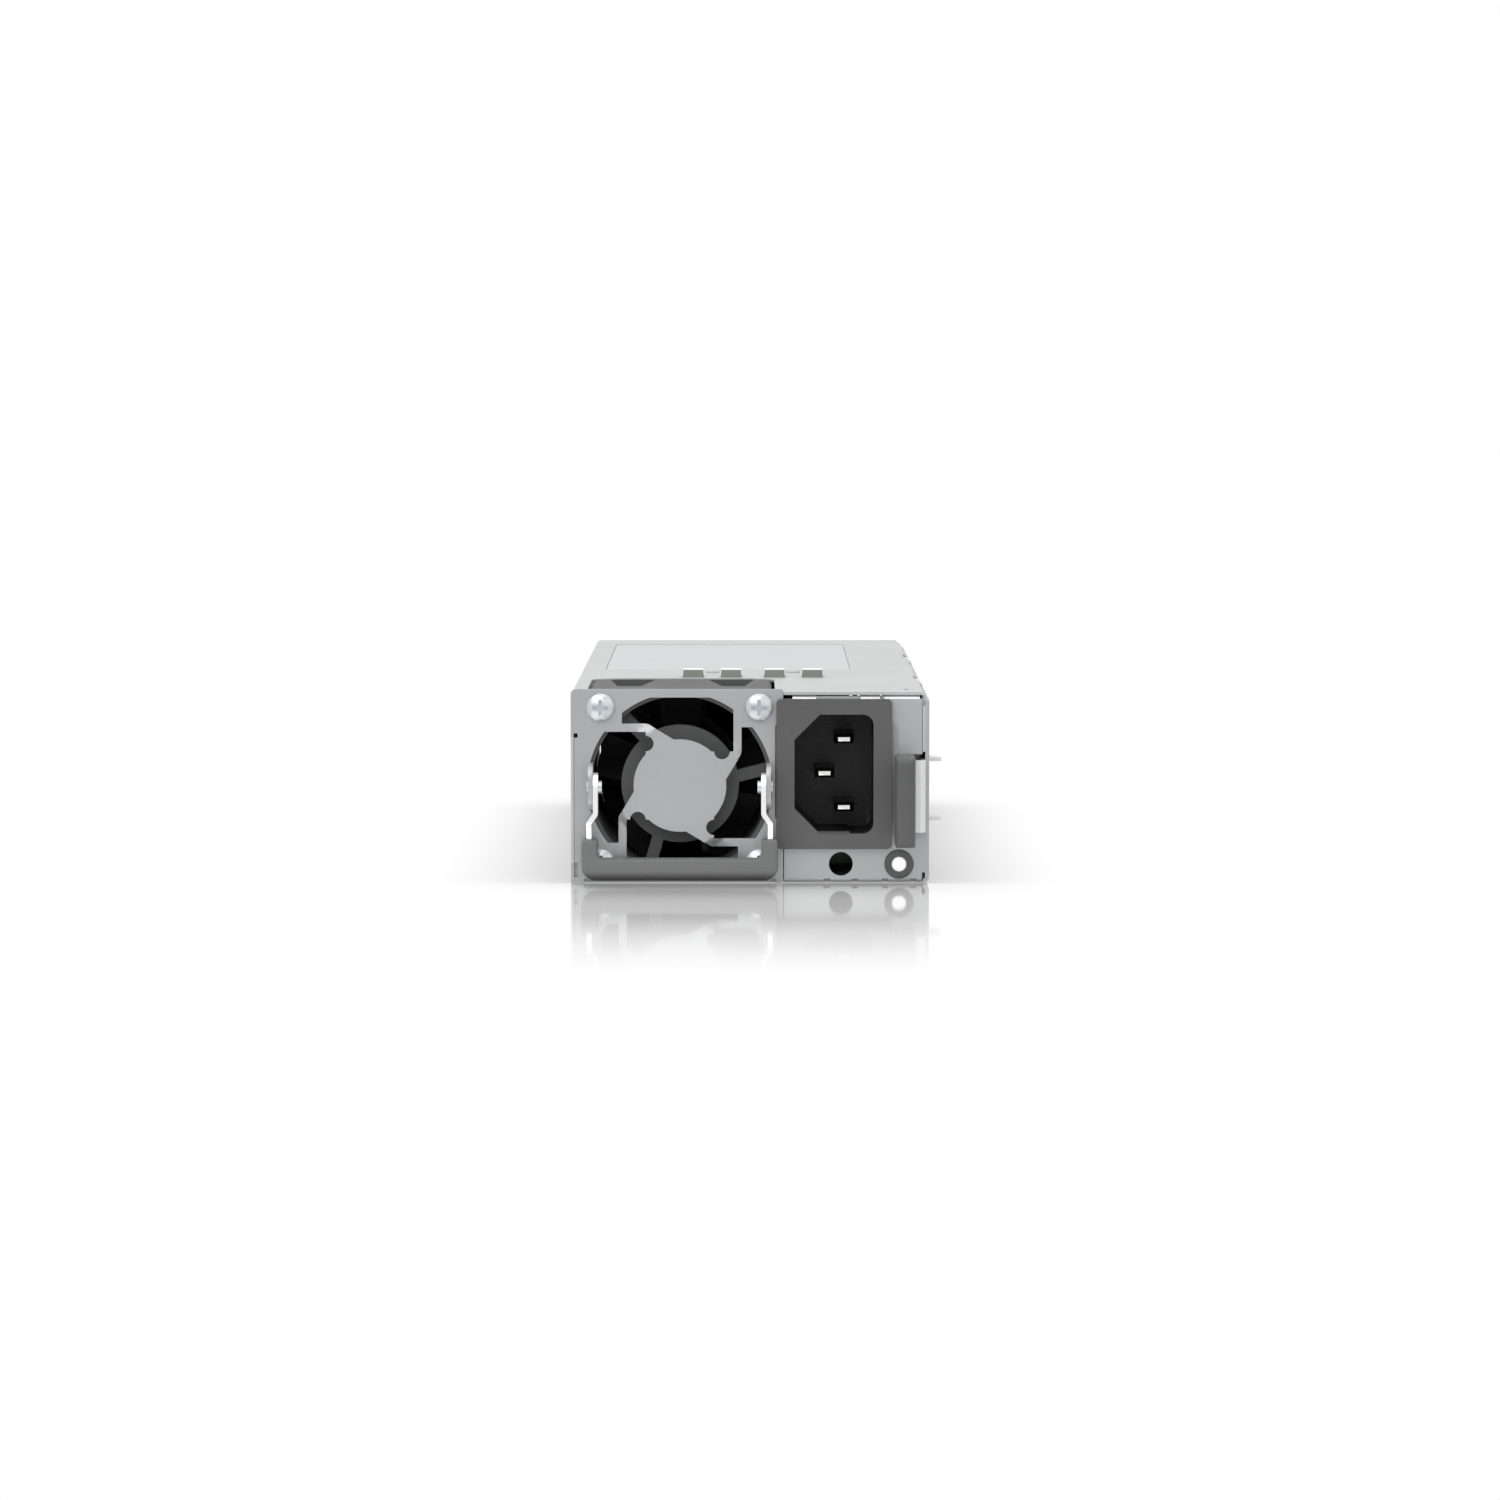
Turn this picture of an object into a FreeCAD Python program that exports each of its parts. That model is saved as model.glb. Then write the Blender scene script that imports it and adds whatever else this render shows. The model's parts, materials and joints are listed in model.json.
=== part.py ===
"""Hot swap server power supply, built as separate pieces.

The case lies along Y with its front at the low end: X runs to the right as seen from the front,
+Y is the way the supply slides into its bay, and Z = 0 is the underside of the case. The origin is
the centre of the underside. All sizes are millimetres.
"""
import FreeCAD
import Part
import math
import os

# ---------------------------------------------------------------- case
CASE_LENGTH = 185.0
CASE_ABOVE_FAN = 1.2       # how much higher the case is than the fan inside it
TRAY_SHEET = 0.8
COVER_SHEET = 0.6
BEND_RADIUS = 0.4
FIT_GAP = 0.1              # gap round a piece that drops into an opening
RUN_GAP = 0.05             # radial gap of a pivot or a shaft
WALL_DROP = 1.7            # depth of the right wall's edge below the top
TRAY_LIP = 8.0             # height of the tray's lip inside the cover's skirt
TRAY_BEND_RUN = 3.0        # length of tray floor that belongs to the front and rear bends
COVER_FLANGE = 12.3        # depth of the cover's flange inside the right wall
REAR_FLANGE = 6.0
HOOK_SPANS = ((42.0, 54.0), (117.0, 130.0))   # hooked tabs of the right wall, from the front
HOOK_REACH = 0.9
HOOK_END_GAP = 2.5
REAR_NOTCH = 9.0

# ---------------------------------------------------------------- fan guard panel
PANEL_SHEET = 1.0
PANEL_RISE = 0.55          # how far the panel stands above the case
PANEL_BEYOND_FAN = 2.16    # panel to the right of the fan
PANEL_CORNER = 1.0
PANEL_FLANGE = 6.0
RELIEF_WIDTH = 1.3
RELIEF_HEIGHT = 0.8
SKIRT_NOSE_BOTTOM = 4.0    # the cover's skirt reaches the front plane above this height
SKIRT_NOSE_DROP = 9.3      # and below this depth from the top
SKIRT_RELIEF = 0.7         # width of the slots at the ends of the skirt's nose
SKIRT_RELIEF_TOP = 0.8
SKIRT_RELIEF_BOTTOM = 2.9
GUARD_FLAT_INSET = 1.0     # flats of the opening inside the fan's size
GUARD_DISC = 9.5
GUARD_RISE = 1.2
GUARD_JOG_START = 12.7
GUARD_JOG_RUN = 1.8
GUARD_ARM = 1.65
GUARD_ARM_OFFSET = 11.8
GUARD_ARM_BEND = 7.0
GUARD_ARM_TURN = 31.0
GUARD_LOBE_RADIUS = 1.6    # each lobe's circle touches the disc
GUARD_LOBE_ANGLE = 129.0
GUARD_PAD = 11.9           # the corner pads beyond the arms start this far from the axis
GUARD_PAD_CORNER = 0.8

# ---------------------------------------------------------------- fan
FAN_SIZE = 38.0
FAN_SIDE = 3.39            # room to the left of the fan for the skirt, the lip and the ear
FAN_SEAT_GAP = 0.06        # gap between the panel's flange and the fan
FAN_LENGTH = 41.0
FAN_PLAN_CORNER = 5.0
FAN_EDGE_CORNER = 1.2
DUCT_WALL = 0.8
FAN_SCREW_INSET = (2.75, 3.0)   # screws inside the fan's sides and inside its top and bottom
FAN_BASE_RADIUS = 12.1
FAN_BASE_SETBACK = 2.6
FAN_BASE_PLATE = 2.4
STRUT_WIDTH = 2.45
STRUT_OFFSET = 1.35
STRUT_ANGLE = 14.0
STRUT_COUNT = 3
POCKET_START = 19.4
POCKET_NEAR = (8.4, 13.3)
POCKET_FAR = (5.6, 15.2)
BEARING_TUBE = 3.0
SHAFT_RADIUS = 1.5
STATOR_RADIUS = 8.6
HUB_RADIUS = 11.0
HUB_WALL = 1.0
HUB_LENGTH = 13.6
ROTOR_GAP = 0.7            # gap between the rotor and the motor base, and between the rotors
TIP_GAP = 0.6
BLADE_CHORD = 11.0
BLADE_THICKNESS = 1.0
BLADE_CAMBER = 1.4
BLADE_STAGGER = (38.0, 54.0)   # angle from the axis at the root and at the tip
FRONT_BLADES = 5
REAR_BLADES = 4

# ---------------------------------------------------------------- screws
PAN_HEAD_RADIUS = 2.83
PAN_HEAD_HEIGHT = 1.9
PAN_DOME = 1.1             # how far the head's top stands above its rim
PAN_SHANK_RADIUS = 1.5
PAN_SHANK_LENGTH = 8.0
CROSS_WIDTH = 0.75
CROSS_SPAN = 3.2
CROSS_DEPTH = 1.1
COVER_SCREW_INSET = 4.65
COVER_SCREW_SETBACK = 3.4
CONE_HEAD_RADIUS = 2.9
CONE_HEAD_HEIGHT = 1.4
CONE_HEAD_CROWN = 0.3
CONE_HEAD_FLAT = 1.6       # radius of the flat middle of the crown
CONE_SHANK_RADIUS = 1.4
CONE_SHANK_LENGTH = 4.0

# ---------------------------------------------------------------- front wall
COVER_CORNER_RELIEF = 2.9  # square relief at the flange's front corner, from the top
WALL_GAP = 0.2             # gap between the panel's edge and the wall
WALL_INSET = 1.45          # wall's right edge inside the case's right side
WALL_EDGE_DROP = 1.4       # depth of the wall's upper edge below the top
TAB_SPANS = ((3.3, 8.2), (17.2, 21.3))   # tabs over the inlet, from the flange's left edge
TAB_FOLD = 4.0
PLATE_LAP = 1.6            # how far the upper right plate reaches behind the inlet flange
PLATE_INSET = 0.5
PLATE_FOLD = 7.0
FOOT_SPAN = 7.0            # outer width of a notch pair in the bottom bend
WINDOW_REACH = 7.15        # latch window's left side inside the case's right side
WINDOW_BOTTOM = 10.3
WINDOW_TOP = 26.4
CORNER_RELIEF = (1.06, 2.06)    # height of the relief at the wall's lower corner
RETAINER_FROM_FLANGE = 13.25
RETAINER_Z = 3.83
RETAINER_RADIUS = 2.45
LED_INSET = 6.15
LED_Z = 3.8
LED_LENS_RADIUS = 1.52
LED_BEZEL_RADIUS = 3.0
LED_HOLE_RADIUS = 2.5
LED_BEZEL_PROUD = 0.5
LED_BEZEL_CHAMFER = 0.3
LIGHT_PIPE_LENGTH = 7.0
STATUS_BOARD = 1.2

# ---------------------------------------------------------------- AC inlet
INLET_LAP = 1.4            # how far the flange covers the panel's edge
INLET_FLANGE_WIDTH = 23.7
INLET_FLANGE_BOTTOM = 7.0
INLET_FLANGE_CORNER = 1.0
INLET_FLANGE_PROUD = 1.4
INLET_CAVITY_INSET = 3.7   # cavity's left side inside the flange
INLET_CAVITY_WIDTH = 16.2
INLET_CAVITY_HEIGHT = 24.5
INLET_CAVITY_DEPTH = 17.5
INLET_CHAMFER = 5.2
INLET_CORNER = 2.2
INLET_WALL = 1.2
INLET_BACK = 3.0
INLET_PLATE = (-0.25, 24.9)     # left and right side of the plate under the flange, from its left edge
INLET_PLATE_INSET = (5.7, 4.9)  # plate's bottom and top inside the flange
INLET_PLATE_PROUD = 0.3
INLET_PLATE_CORNER = 1.0
INLET_LEDGE = (4.9, 11.4)       # keying ledge on the cavity's lower side, from its left side
INLET_LEDGE_HEIGHT = 0.4
INLET_LEDGE_START = 0.8
INLET_DIMPLE = (2.5, 2.1, 0.4)  # moulded recess beside the lower pin: width, height, depth
INLET_DIMPLE_OFFSET = 3.4       # its centre, to the right of the pin
LATCH_BAY = 7.65                # room to the right of the inlet flange
PIN_THICKNESS = 2.0
PIN_WIDTH = 4.0
PIN_SPACING = 14.0
PIN_ROW_INSET = 10.2       # outer pins, from the cavity's left side
EARTH_PIN_INSET = 6.2
PIN_RECESS = 2.5
PIN_TAPER = 2.0
PIN_TIP = (2.4, 0.8)
PIN_TAIL = 5.5

# ---------------------------------------------------------------- handle
EAR_HALF_HEIGHT = 4.7
EAR_REACH = 7.0
EAR_CORNER = 3.0
EAR_INSET = 1.3            # ear's inner face inside the fan's side
PIVOT_SETOUT = 4.6         # distance of the pivot in front of the panel
ARM_SHEET = 1.0
ARM_END_RADIUS = 3.0
ARM_TAIL_WIDTH = 3.2
ARM_OUTER_STEP = 1.35
ARM_JOG = (5.25, 7.1)      # jog of the arm, below the pivot
ARM_BOTTOM = 2.6
RIVET_RADIUS = 0.9
RIVET_HEAD_RADIUS = 1.3
RIVET_HEAD = 0.75
RIVET_FLUSH_HEAD = 0.2     # the pivot rivets' outer heads
GRIP_OUTSET = 1.05         # grip's ends outside the fan's sides
GRIP_BOTTOM = 0.86
GRIP_BAR = 4.6
GRIP_POST_TOP = 9.5
GRIP_POST = 3.3
GRIP_DEPTH = 4.5
GRIP_OUTER_CORNER = 3.0
GRIP_INNER_CORNER = 1.0
GRIP_FRONT_ROUND = 2.3

# ---------------------------------------------------------------- latch
LATCH_SHEET = 0.8
LATCH_BOTTOM = 10.55
LATCH_TOP = 25.4
LATCH_PIVOT_SETBACK = 62.0
LATCH_ROOT_LENGTH = 10.0
LATCH_ROOT_GAP = 0.1
LATCH_SETOUT = 3.0
LATCH_TONGUE_INSET = 4.8
BARB_SETBACK = 15.0
BARB_THICKNESS = 0.75
BARB_SPACING = 12.3
BARB_REACH = 3.05
BARB_ROOT_LENGTH = 9.2
BARB_TIP_LENGTH = 2.3
BARB_SLOT_GAP = 0.3
LATCH_GRIP_INSET = 7.25
LATCH_GRIP_WIDTH = 4.1
LATCH_GRIP_BOTTOM = 8.3
LATCH_GRIP_HEIGHT = 18.4
LATCH_GRIP_BACK = 3.2
LATCH_GRIP_LENGTH = 10.8
LATCH_GRIP_ROUND = 1.4
LATCH_TONGUE_LENGTH = 7.5

# ---------------------------------------------------------------- grounding clips and label
CLIP_SHEET = 0.2
CLIP_CENTRES = (-8.1, 9.33)
FINGER_SPACING = 8.12
FINGER_WIDTH = 4.2
FINGER_FOOT = 45.9
FINGER_CREST = 48.6
FINGER_HEIGHT = 1.9
FINGER_ROOT = 57.0
CLIP_TAIL = 66.0
CLIP_RIVET_SETBACK = 62.0
CLIP_RIVET_RADIUS = 1.5
CLIP_RIVET_HEAD = 0.35
FOOT_NOTCH = 0.7
LABEL_INSET = (5.15, 14.75)     # inside the case's left and right sides
LABEL_FRONT = 72.8
LABEL_BACK = 17.3               # recess ends this far before the rear
LABEL_RECESS = 0.3
LABEL_RECESS_CORNER = 0.5
LABEL_CORNER = 2.2
LABEL_THICKNESS = 0.22
LABEL_MARGIN = 0.12

# ---------------------------------------------------------------- boards
BOARD_THICKNESS = 1.6
STANDOFF_HEIGHT = 4.2
STANDOFF_RADIUS = 2.6
BOARD_SCREW_RADIUS = 1.4
BOARD_SCREW_HEAD = 2.4
BOARD_SCREW_HEAD_HEIGHT = 1.4
BOARD_SCREW_BITE = 2.5
SHEET_INSULATION = 0.3
BOARD_MARGIN = 3.25        # between the board and the case's outer sides
BOARD_FRONT = 45.0
BOARD_STEP_FRONT = 27.0
BOARD_LATCH_CLEAR = 6.95   # room between the board's step and the right wall
EDGE_TONGUE = 8.5
CONTACT_COUNT = 25
CONTACT_PITCH = 2.54
CONTACT_WIDTH = 1.8
CONTACT_LENGTH = 7.0
CONTACT_THICKNESS = 0.1
STANDOFF_INSET = 4.0
STANDOFF_FRONT = ((-1, 50.0), (1, 66.0))   # side, distance behind the front
STANDOFF_REAR = 9.0        # distance before the rear, on both sides
FILTER_BOARD_DROP = 1.6
FILTER_BOARD_BEYOND = (0.3, 0.9)   # past the inlet's body on the left and on the right

# ---------------------------------------------------------------- components
CAPACITOR_RADIUS = 11.0
CAPACITOR_CLEAR = 2.5      # left free under the cover
CAPACITOR_PLACES = ((-21.5, 98.0), (1.8, 98.0), (-21.5, 121.5))
CAPACITOR_GROOVE = 0.8
CAN_CHAMFER = 0.6
OUTPUT_CAPACITOR_RADIUS = 4.0
OUTPUT_CAPACITOR_HEIGHT = 20.0
OUTPUT_CAPACITOR_COUNT = 5
OUTPUT_CAPACITOR_PITCH = 9.5
OUTPUT_CAPACITOR_MIDDLE = -2.5
TOROID_RADIUS = 8.0
TOROID_SECTION = 2.4
TOROID_WINDING = 3.6
TOROID_PLACE = (15.5, 38.0)      # inside the board's right edge, behind the front
CHOKE_PLAN = (21.0, 24.0)
CHOKE_CLEAR = 5.0
CHOKE_PLACE = (-21.0, 69.0)
CHOKE_COIL_RADIUS = 7.4
TRANSFORMER_PLAN = (30.0, 27.0)
TRANSFORMER_CLEAR = 4.5
TRANSFORMER_PLACE = (5.5, 135.5)
TRANSFORMER_COIL_RADIUS = 12.4
CORE_CAP = 5.5             # thickness of a ferrite core's top and bottom
CORE_SIDE = 2.2
FILM_CAPACITOR_SIZE = (18.0, 8.0, 17.0)
FILM_CAPACITOR_INSET = 15.5      # inside the board's right edge
FILM_CAPACITOR_SETBACKS = (52.5, 62.5)
RELAY_SIZE = (12.5, 19.5, 15.5)
RELAY_PLACE = (33.0, 58.0)
RELAY_RIM = 0.4
FUSE_RADIUS = 2.6
FUSE_LENGTH = 20.0
FUSE_PLACE = (6.5, 84.0)
FUSE_CAP = 5.0
SINK_CLEAR = 4.0
SINK_PLATE = 2.5
SINK_FIN = 1.2
SINK_REACH = 8.0
SINK_FINS = 7
PRIMARY_SINK = (20.5, 76.0, 44.0)      # x of the plate, start behind the front, length
SECONDARY_SINK = (-21.0, 137.0, 14.0)
PACKAGE_SIZE = (4.6, 10.0, 16.0)
PACKAGE_STANDOFF = 5.0
OUTPUT_CLEAR = 8.0         # height left free under the lowest fin

# ---------------------------------------------------------------- rear vents
VENT_PITCH = 7.2
VENT_ACROSS = 6.0
VENT_ROWS = 4
VENT_COLUMNS = 9
EDGE_SLOT_MARGIN = 1.0
EDGE_SLOT_HEIGHT = 6.0

# ---------------------------------------------------------------- derived
CASE_WIDTH = FAN_SIDE + FAN_SIZE + PANEL_BEYOND_FAN - INLET_LAP + INLET_FLANGE_WIDTH + LATCH_BAY
CASE_HEIGHT = FAN_SIZE + CASE_ABOVE_FAN
FRONT = -CASE_LENGTH / 2
REAR = CASE_LENGTH / 2
RIGHT = CASE_WIDTH / 2
LEFT = -CASE_WIDTH / 2
WALL_INNER = RIGHT - TRAY_SHEET
SKIRT_INNER = LEFT + COVER_SHEET
COVER_UNDER = CASE_HEIGHT - COVER_SHEET
FLOOR = TRAY_SHEET
WALL_TOP = CASE_HEIGHT - WALL_DROP
WALL_UPPER_EDGE = CASE_HEIGHT - WALL_EDGE_DROP
BOARD_BOTTOM = FLOOR + STANDOFF_HEIGHT
BOARD_TOP = BOARD_BOTTOM + BOARD_THICKNESS
BOARD_HALF = CASE_WIDTH / 2 - BOARD_MARGIN
BOARD_STEP_RIGHT = WALL_INNER - BOARD_LATCH_CLEAR
HEADROOM = COVER_UNDER - BOARD_TOP
FAN_X = LEFT + FAN_SIDE + FAN_SIZE / 2
FAN_Z = PANEL_SHEET + FAN_SEAT_GAP + FAN_SIZE / 2
FAN_FRONT = FRONT + PANEL_SHEET
FAN_REAR = FAN_FRONT + FAN_LENGTH
FAN_BORE = FAN_SIZE / 2 - DUCT_WALL
BLADE_TIP = FAN_BORE - TIP_GAP
PANEL_RIGHT = FAN_X + FAN_SIZE / 2 + PANEL_BEYOND_FAN
PANEL_HEIGHT = CASE_HEIGHT + PANEL_RISE
SKIRT_NOSE = (SKIRT_NOSE_BOTTOM, CASE_HEIGHT - SKIRT_NOSE_DROP)
GUARD_RADIUS = FAN_SIZE / 2
GUARD_FLAT = FAN_SIZE / 2 - GUARD_FLAT_INSET
GUARD_LOBE_CENTRE = GUARD_DISC + GUARD_LOBE_RADIUS
EAR_INNER = FAN_SIZE / 2 - EAR_INSET
GRIP_HALF_WIDTH = FAN_SIZE / 2 + GRIP_OUTSET
WALL_LEFT = PANEL_RIGHT + WALL_GAP
WALL_RIGHT = RIGHT - WALL_INSET
BOARD_STEP_LEFT = WALL_LEFT
WINDOW_LEFT = RIGHT - WINDOW_REACH
LED_X = RIGHT - LED_INSET
COVER_SCREW_X = RIGHT - COVER_SCREW_INSET
LATCH_TONGUE_X = RIGHT - LATCH_TONGUE_INSET
LATCH_GRIP_LEFT = RIGHT - LATCH_GRIP_INSET
LABEL_SPAN = (LEFT + LABEL_INSET[0], RIGHT - LABEL_INSET[1])
INLET_FLANGE_LEFT = PANEL_RIGHT - INLET_LAP
INLET_FLANGE_RIGHT = INLET_FLANGE_LEFT + INLET_FLANGE_WIDTH
INLET_FLANGE_HEIGHT = WALL_UPPER_EDGE - INLET_FLANGE_BOTTOM
INLET_CAVITY_LEFT = INLET_FLANGE_LEFT + INLET_CAVITY_INSET
INLET_CAVITY_BOTTOM = INLET_FLANGE_BOTTOM + (INLET_FLANGE_HEIGHT - INLET_CAVITY_HEIGHT) / 2
INLET_CAVITY_FLOOR = FRONT - INLET_FLANGE_PROUD + INLET_CAVITY_DEPTH
RETAINER_X = INLET_FLANGE_LEFT + RETAINER_FROM_FLANGE
PIN_ROW_X = INLET_CAVITY_LEFT + PIN_ROW_INSET
EARTH_PIN_X = INLET_CAVITY_LEFT + EARTH_PIN_INSET
PIN_CENTRE_Z = INLET_CAVITY_BOTTOM + INLET_CAVITY_HEIGHT / 2
PIVOT_Y = FRONT - PIVOT_SETOUT
LATCH_PIVOT_Y = FRONT + LATCH_PIVOT_SETBACK

X_AXIS = FreeCAD.Vector(1, 0, 0)
Y_AXIS = FreeCAD.Vector(0, 1, 0)
Z_AXIS = FreeCAD.Vector(0, 0, 1)


# ---------------------------------------------------------------- helpers
def box(x, y, z):
    """A box from three (low, high) pairs."""
    corner = FreeCAD.Vector(x[0], y[0], z[0])
    return Part.makeBox(x[1] - x[0], y[1] - y[0], z[1] - z[0], corner)


def span(centre, width):
    """The (low, high) pair of a width about a centre."""
    return (centre - width / 2, centre + width / 2)


def cylinder(radius, start, axis, length):
    return Part.makeCylinder(radius, length, FreeCAD.Vector(*start), axis)


def joined(shapes):
    """One solid from shapes that overlap or share faces."""
    whole = shapes[0].fuse(shapes[1:]) if len(shapes) > 1 else shapes[0]
    return whole.removeSplitter()


def corner_wire(points, radii):
    """A closed flat outline with one radius per corner, as lines and arcs."""
    count = len(points)
    starts = []
    ends = []
    middles = []
    for index in range(count):
        here = FreeCAD.Vector(*points[index], 0)
        before = (FreeCAD.Vector(*points[index - 1], 0) - here).normalize()
        after = (FreeCAD.Vector(*points[(index + 1) % count], 0) - here).normalize()
        half = before.getAngle(after) / 2
        radius = radii[index]
        if radius <= 0 or half > math.pi / 2 - 1e-6:
            starts.append(here)
            ends.append(here)
            middles.append(None)
            continue
        run = radius / math.tan(half)
        starts.append(here + before * run)
        ends.append(here + after * run)
        inward = (before + after).normalize()
        middles.append(here + inward * (radius / math.sin(half) - radius))
    edges = []
    for index in range(count):
        if middles[index]:
            edges.append(Part.Arc(starts[index], middles[index], ends[index]).toShape())
        following = starts[(index + 1) % count]
        if (following - ends[index]).Length > 1e-7:
            edges.append(Part.LineSegment(ends[index], following).toShape())
    return Part.Wire(edges)


def prism(points, radii, plane, low, high):
    """The outline raised from low to high, drawn in the XY, XZ or YZ plane."""
    if not isinstance(radii, (list, tuple)):
        radii = [radii] * len(points)
    solid = Part.Face(corner_wire(points, radii)).extrude(FreeCAD.Vector(0, 0, high - low))
    if plane == "XY":
        frame = FreeCAD.Matrix(1, 0, 0, 0, 0, 1, 0, 0, 0, 0, 1, low, 0, 0, 0, 1)
    elif plane == "XZ":
        frame = FreeCAD.Matrix(1, 0, 0, 0, 0, 0, -1, high, 0, 1, 0, 0, 0, 0, 0, 1)
    else:
        frame = FreeCAD.Matrix(0, 0, 1, low, 1, 0, 0, 0, 0, 1, 0, 0, 0, 0, 0, 1)
    placed = solid.copy()
    placed.transformShape(frame, True)
    return placed


def rounded_block(u, v, radius, plane, low, high):
    """A block whose outline is a rectangle with one corner radius."""
    points = [(u[0], v[0]), (u[1], v[0]), (u[1], v[1]), (u[0], v[1])]
    return prism(points, radius, plane, low, high)


def bent_strip(path, thickness, inner_radius, plane, low, high):
    """Folded sheet: the path is one face, and the sheet lies to its left."""
    count = len(path)
    headings = []
    for index in range(count - 1):
        run = FreeCAD.Vector(path[index + 1][0] - path[index][0],
                             path[index + 1][1] - path[index][1], 0)
        headings.append(run.normalize())
    offset = []
    outer_radii = []
    inner_radii = []
    for index in range(count):
        before = headings[max(index - 1, 0)]
        after = headings[min(index, count - 2)]
        left = (FreeCAD.Vector(-before.y, before.x, 0) + FreeCAD.Vector(-after.y, after.x, 0)).normalize()
        stretch = thickness / left.dot(FreeCAD.Vector(-after.y, after.x, 0))
        offset.append((path[index][0] + left.x * stretch, path[index][1] + left.y * stretch))
        turn = before.x * after.y - before.y * after.x
        end = index in (0, count - 1)
        near = inner_radius + thickness if turn > 0 else inner_radius
        far = inner_radius if turn > 0 else inner_radius + thickness
        outer_radii.append(0 if end else near)
        inner_radii.append(0 if end else far)
    points = list(path) + offset[::-1]
    return prism(points, outer_radii + inner_radii[::-1], plane, low, high)


def revolved(profile, radii, centre):
    """A ring or disc turned about the line through centre along Y: points are (radius, y)."""
    wire = corner_wire(profile, radii)
    face = Part.Face(wire)
    solid = face.revolve(FreeCAD.Vector(0, 0, 0), Y_AXIS, 360)
    solid.translate(FreeCAD.Vector(*centre))
    return solid


def turned_z(profile, radii, x, y):
    """A solid of revolution about an upright axis: points are (radius, z)."""
    solid = Part.Face(corner_wire(profile, radii)).revolve(FreeCAD.Vector(0, 0, 0), Y_AXIS, 360)
    solid.rotate(FreeCAD.Vector(0, 0, 0), X_AXIS, 90)
    solid.translate(FreeCAD.Vector(x, y, 0))
    return solid


def hexagon(u, v, reach):
    """Corners of a hexagon that stands on a corner."""
    angles = [math.radians(60 * corner + 30) for corner in range(6)]
    return [(u + reach * math.cos(angle), v + reach * math.sin(angle)) for angle in angles]


def turned(shape, centre, degrees, axis=Y_AXIS):
    copy = shape.copy()
    copy.rotate(FreeCAD.Vector(*centre), axis, degrees)
    return copy


# ---------------------------------------------------------------- case sheets
def hooked_tabs(low_gap):
    """Tabs of the right wall that fold in over the edge of the cover."""
    tabs = []
    for start, end in HOOK_SPANS:
        path = [(RIGHT, WALL_TOP - low_gap), (RIGHT, COVER_UNDER), (WALL_INNER - HOOK_REACH, COVER_UNDER)]
        tabs.append(bent_strip(path, TRAY_SHEET, BEND_RADIUS, "XZ",
                               FRONT + start + HOOK_END_GAP, FRONT + end - HOOK_END_GAP))
    return tabs


def barb_slots():
    slots = []
    for height in barb_heights():
        slots.append(box((WALL_INNER - 1, RIGHT + 1),
                         (FRONT + BARB_SETBACK - 2 * BARB_SLOT_GAP,
                          FRONT + BARB_SETBACK + BARB_ROOT_LENGTH + 2 * BARB_SLOT_GAP),
                         span(height, BARB_THICKNESS + 2 * BARB_SLOT_GAP)))
    return slots


def wall_tabs():
    """Left side, right side and fold length of each tab along the wall's upper edge."""
    tabs = [(INLET_FLANGE_LEFT + left, INLET_FLANGE_LEFT + right, TAB_FOLD) for left, right in TAB_SPANS]
    tabs.append((INLET_FLANGE_RIGHT - PLATE_LAP, WALL_RIGHT - PLATE_INSET, PLATE_FOLD))
    return tabs


def front_wall():
    """The inlet wall with its openings, folded up from the floor."""
    path = [(FRONT + TRAY_BEND_RUN, 0), (FRONT, 0), (FRONT, WALL_UPPER_EDGE)]
    flipped = [path[2], path[1], path[0]]
    wall = bent_strip(flipped, TRAY_SHEET, BEND_RADIUS, "YZ", WALL_LEFT, WALL_RIGHT)
    pieces = [wall]
    for left, right, fold in wall_tabs():
        fold_path = [(FRONT + fold, COVER_UNDER), (FRONT, COVER_UNDER), (FRONT, WALL_UPPER_EDGE - 2)]
        pieces.append(bent_strip(fold_path, TRAY_SHEET, BEND_RADIUS, "YZ", left, right))
    face = (FRONT, FRONT + TRAY_SHEET)
    pieces.append(box((WALL_RIGHT - 1, WALL_INNER + TRAY_SHEET / 2), face, (CORNER_RELIEF[1], WINDOW_BOTTOM)))
    wall = joined(pieces)
    through = (FRONT - 1, FRONT + TRAY_SHEET + 1)
    body_left, body_right, body_low, body_high = inlet_body_span()
    cuts = [box((WALL_LEFT - 1, body_right + FIT_GAP), through,
                (body_low - FIT_GAP, body_high + FIT_GAP))]
    cuts.append(box((WINDOW_LEFT, WALL_RIGHT + 1), through, (WINDOW_BOTTOM, WINDOW_TOP)))
    cuts.append(cylinder(RETAINER_RADIUS, (RETAINER_X, FRONT - 1, RETAINER_Z), Y_AXIS, 4))
    cuts.append(cylinder(LED_HOLE_RADIUS, (LED_X, FRONT - 1, LED_Z), Y_AXIS, 4))
    for centre in (RETAINER_X, LED_X):
        for side in (centre - FOOT_SPAN / 2, centre + FOOT_SPAN / 2 - RELIEF_WIDTH):
            cuts.append(box((side, side + RELIEF_WIDTH), (FRONT - 1, FRONT + TRAY_BEND_RUN - 1),
                            (-1, RELIEF_HEIGHT)))
    return wall.cut(cuts)


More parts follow.
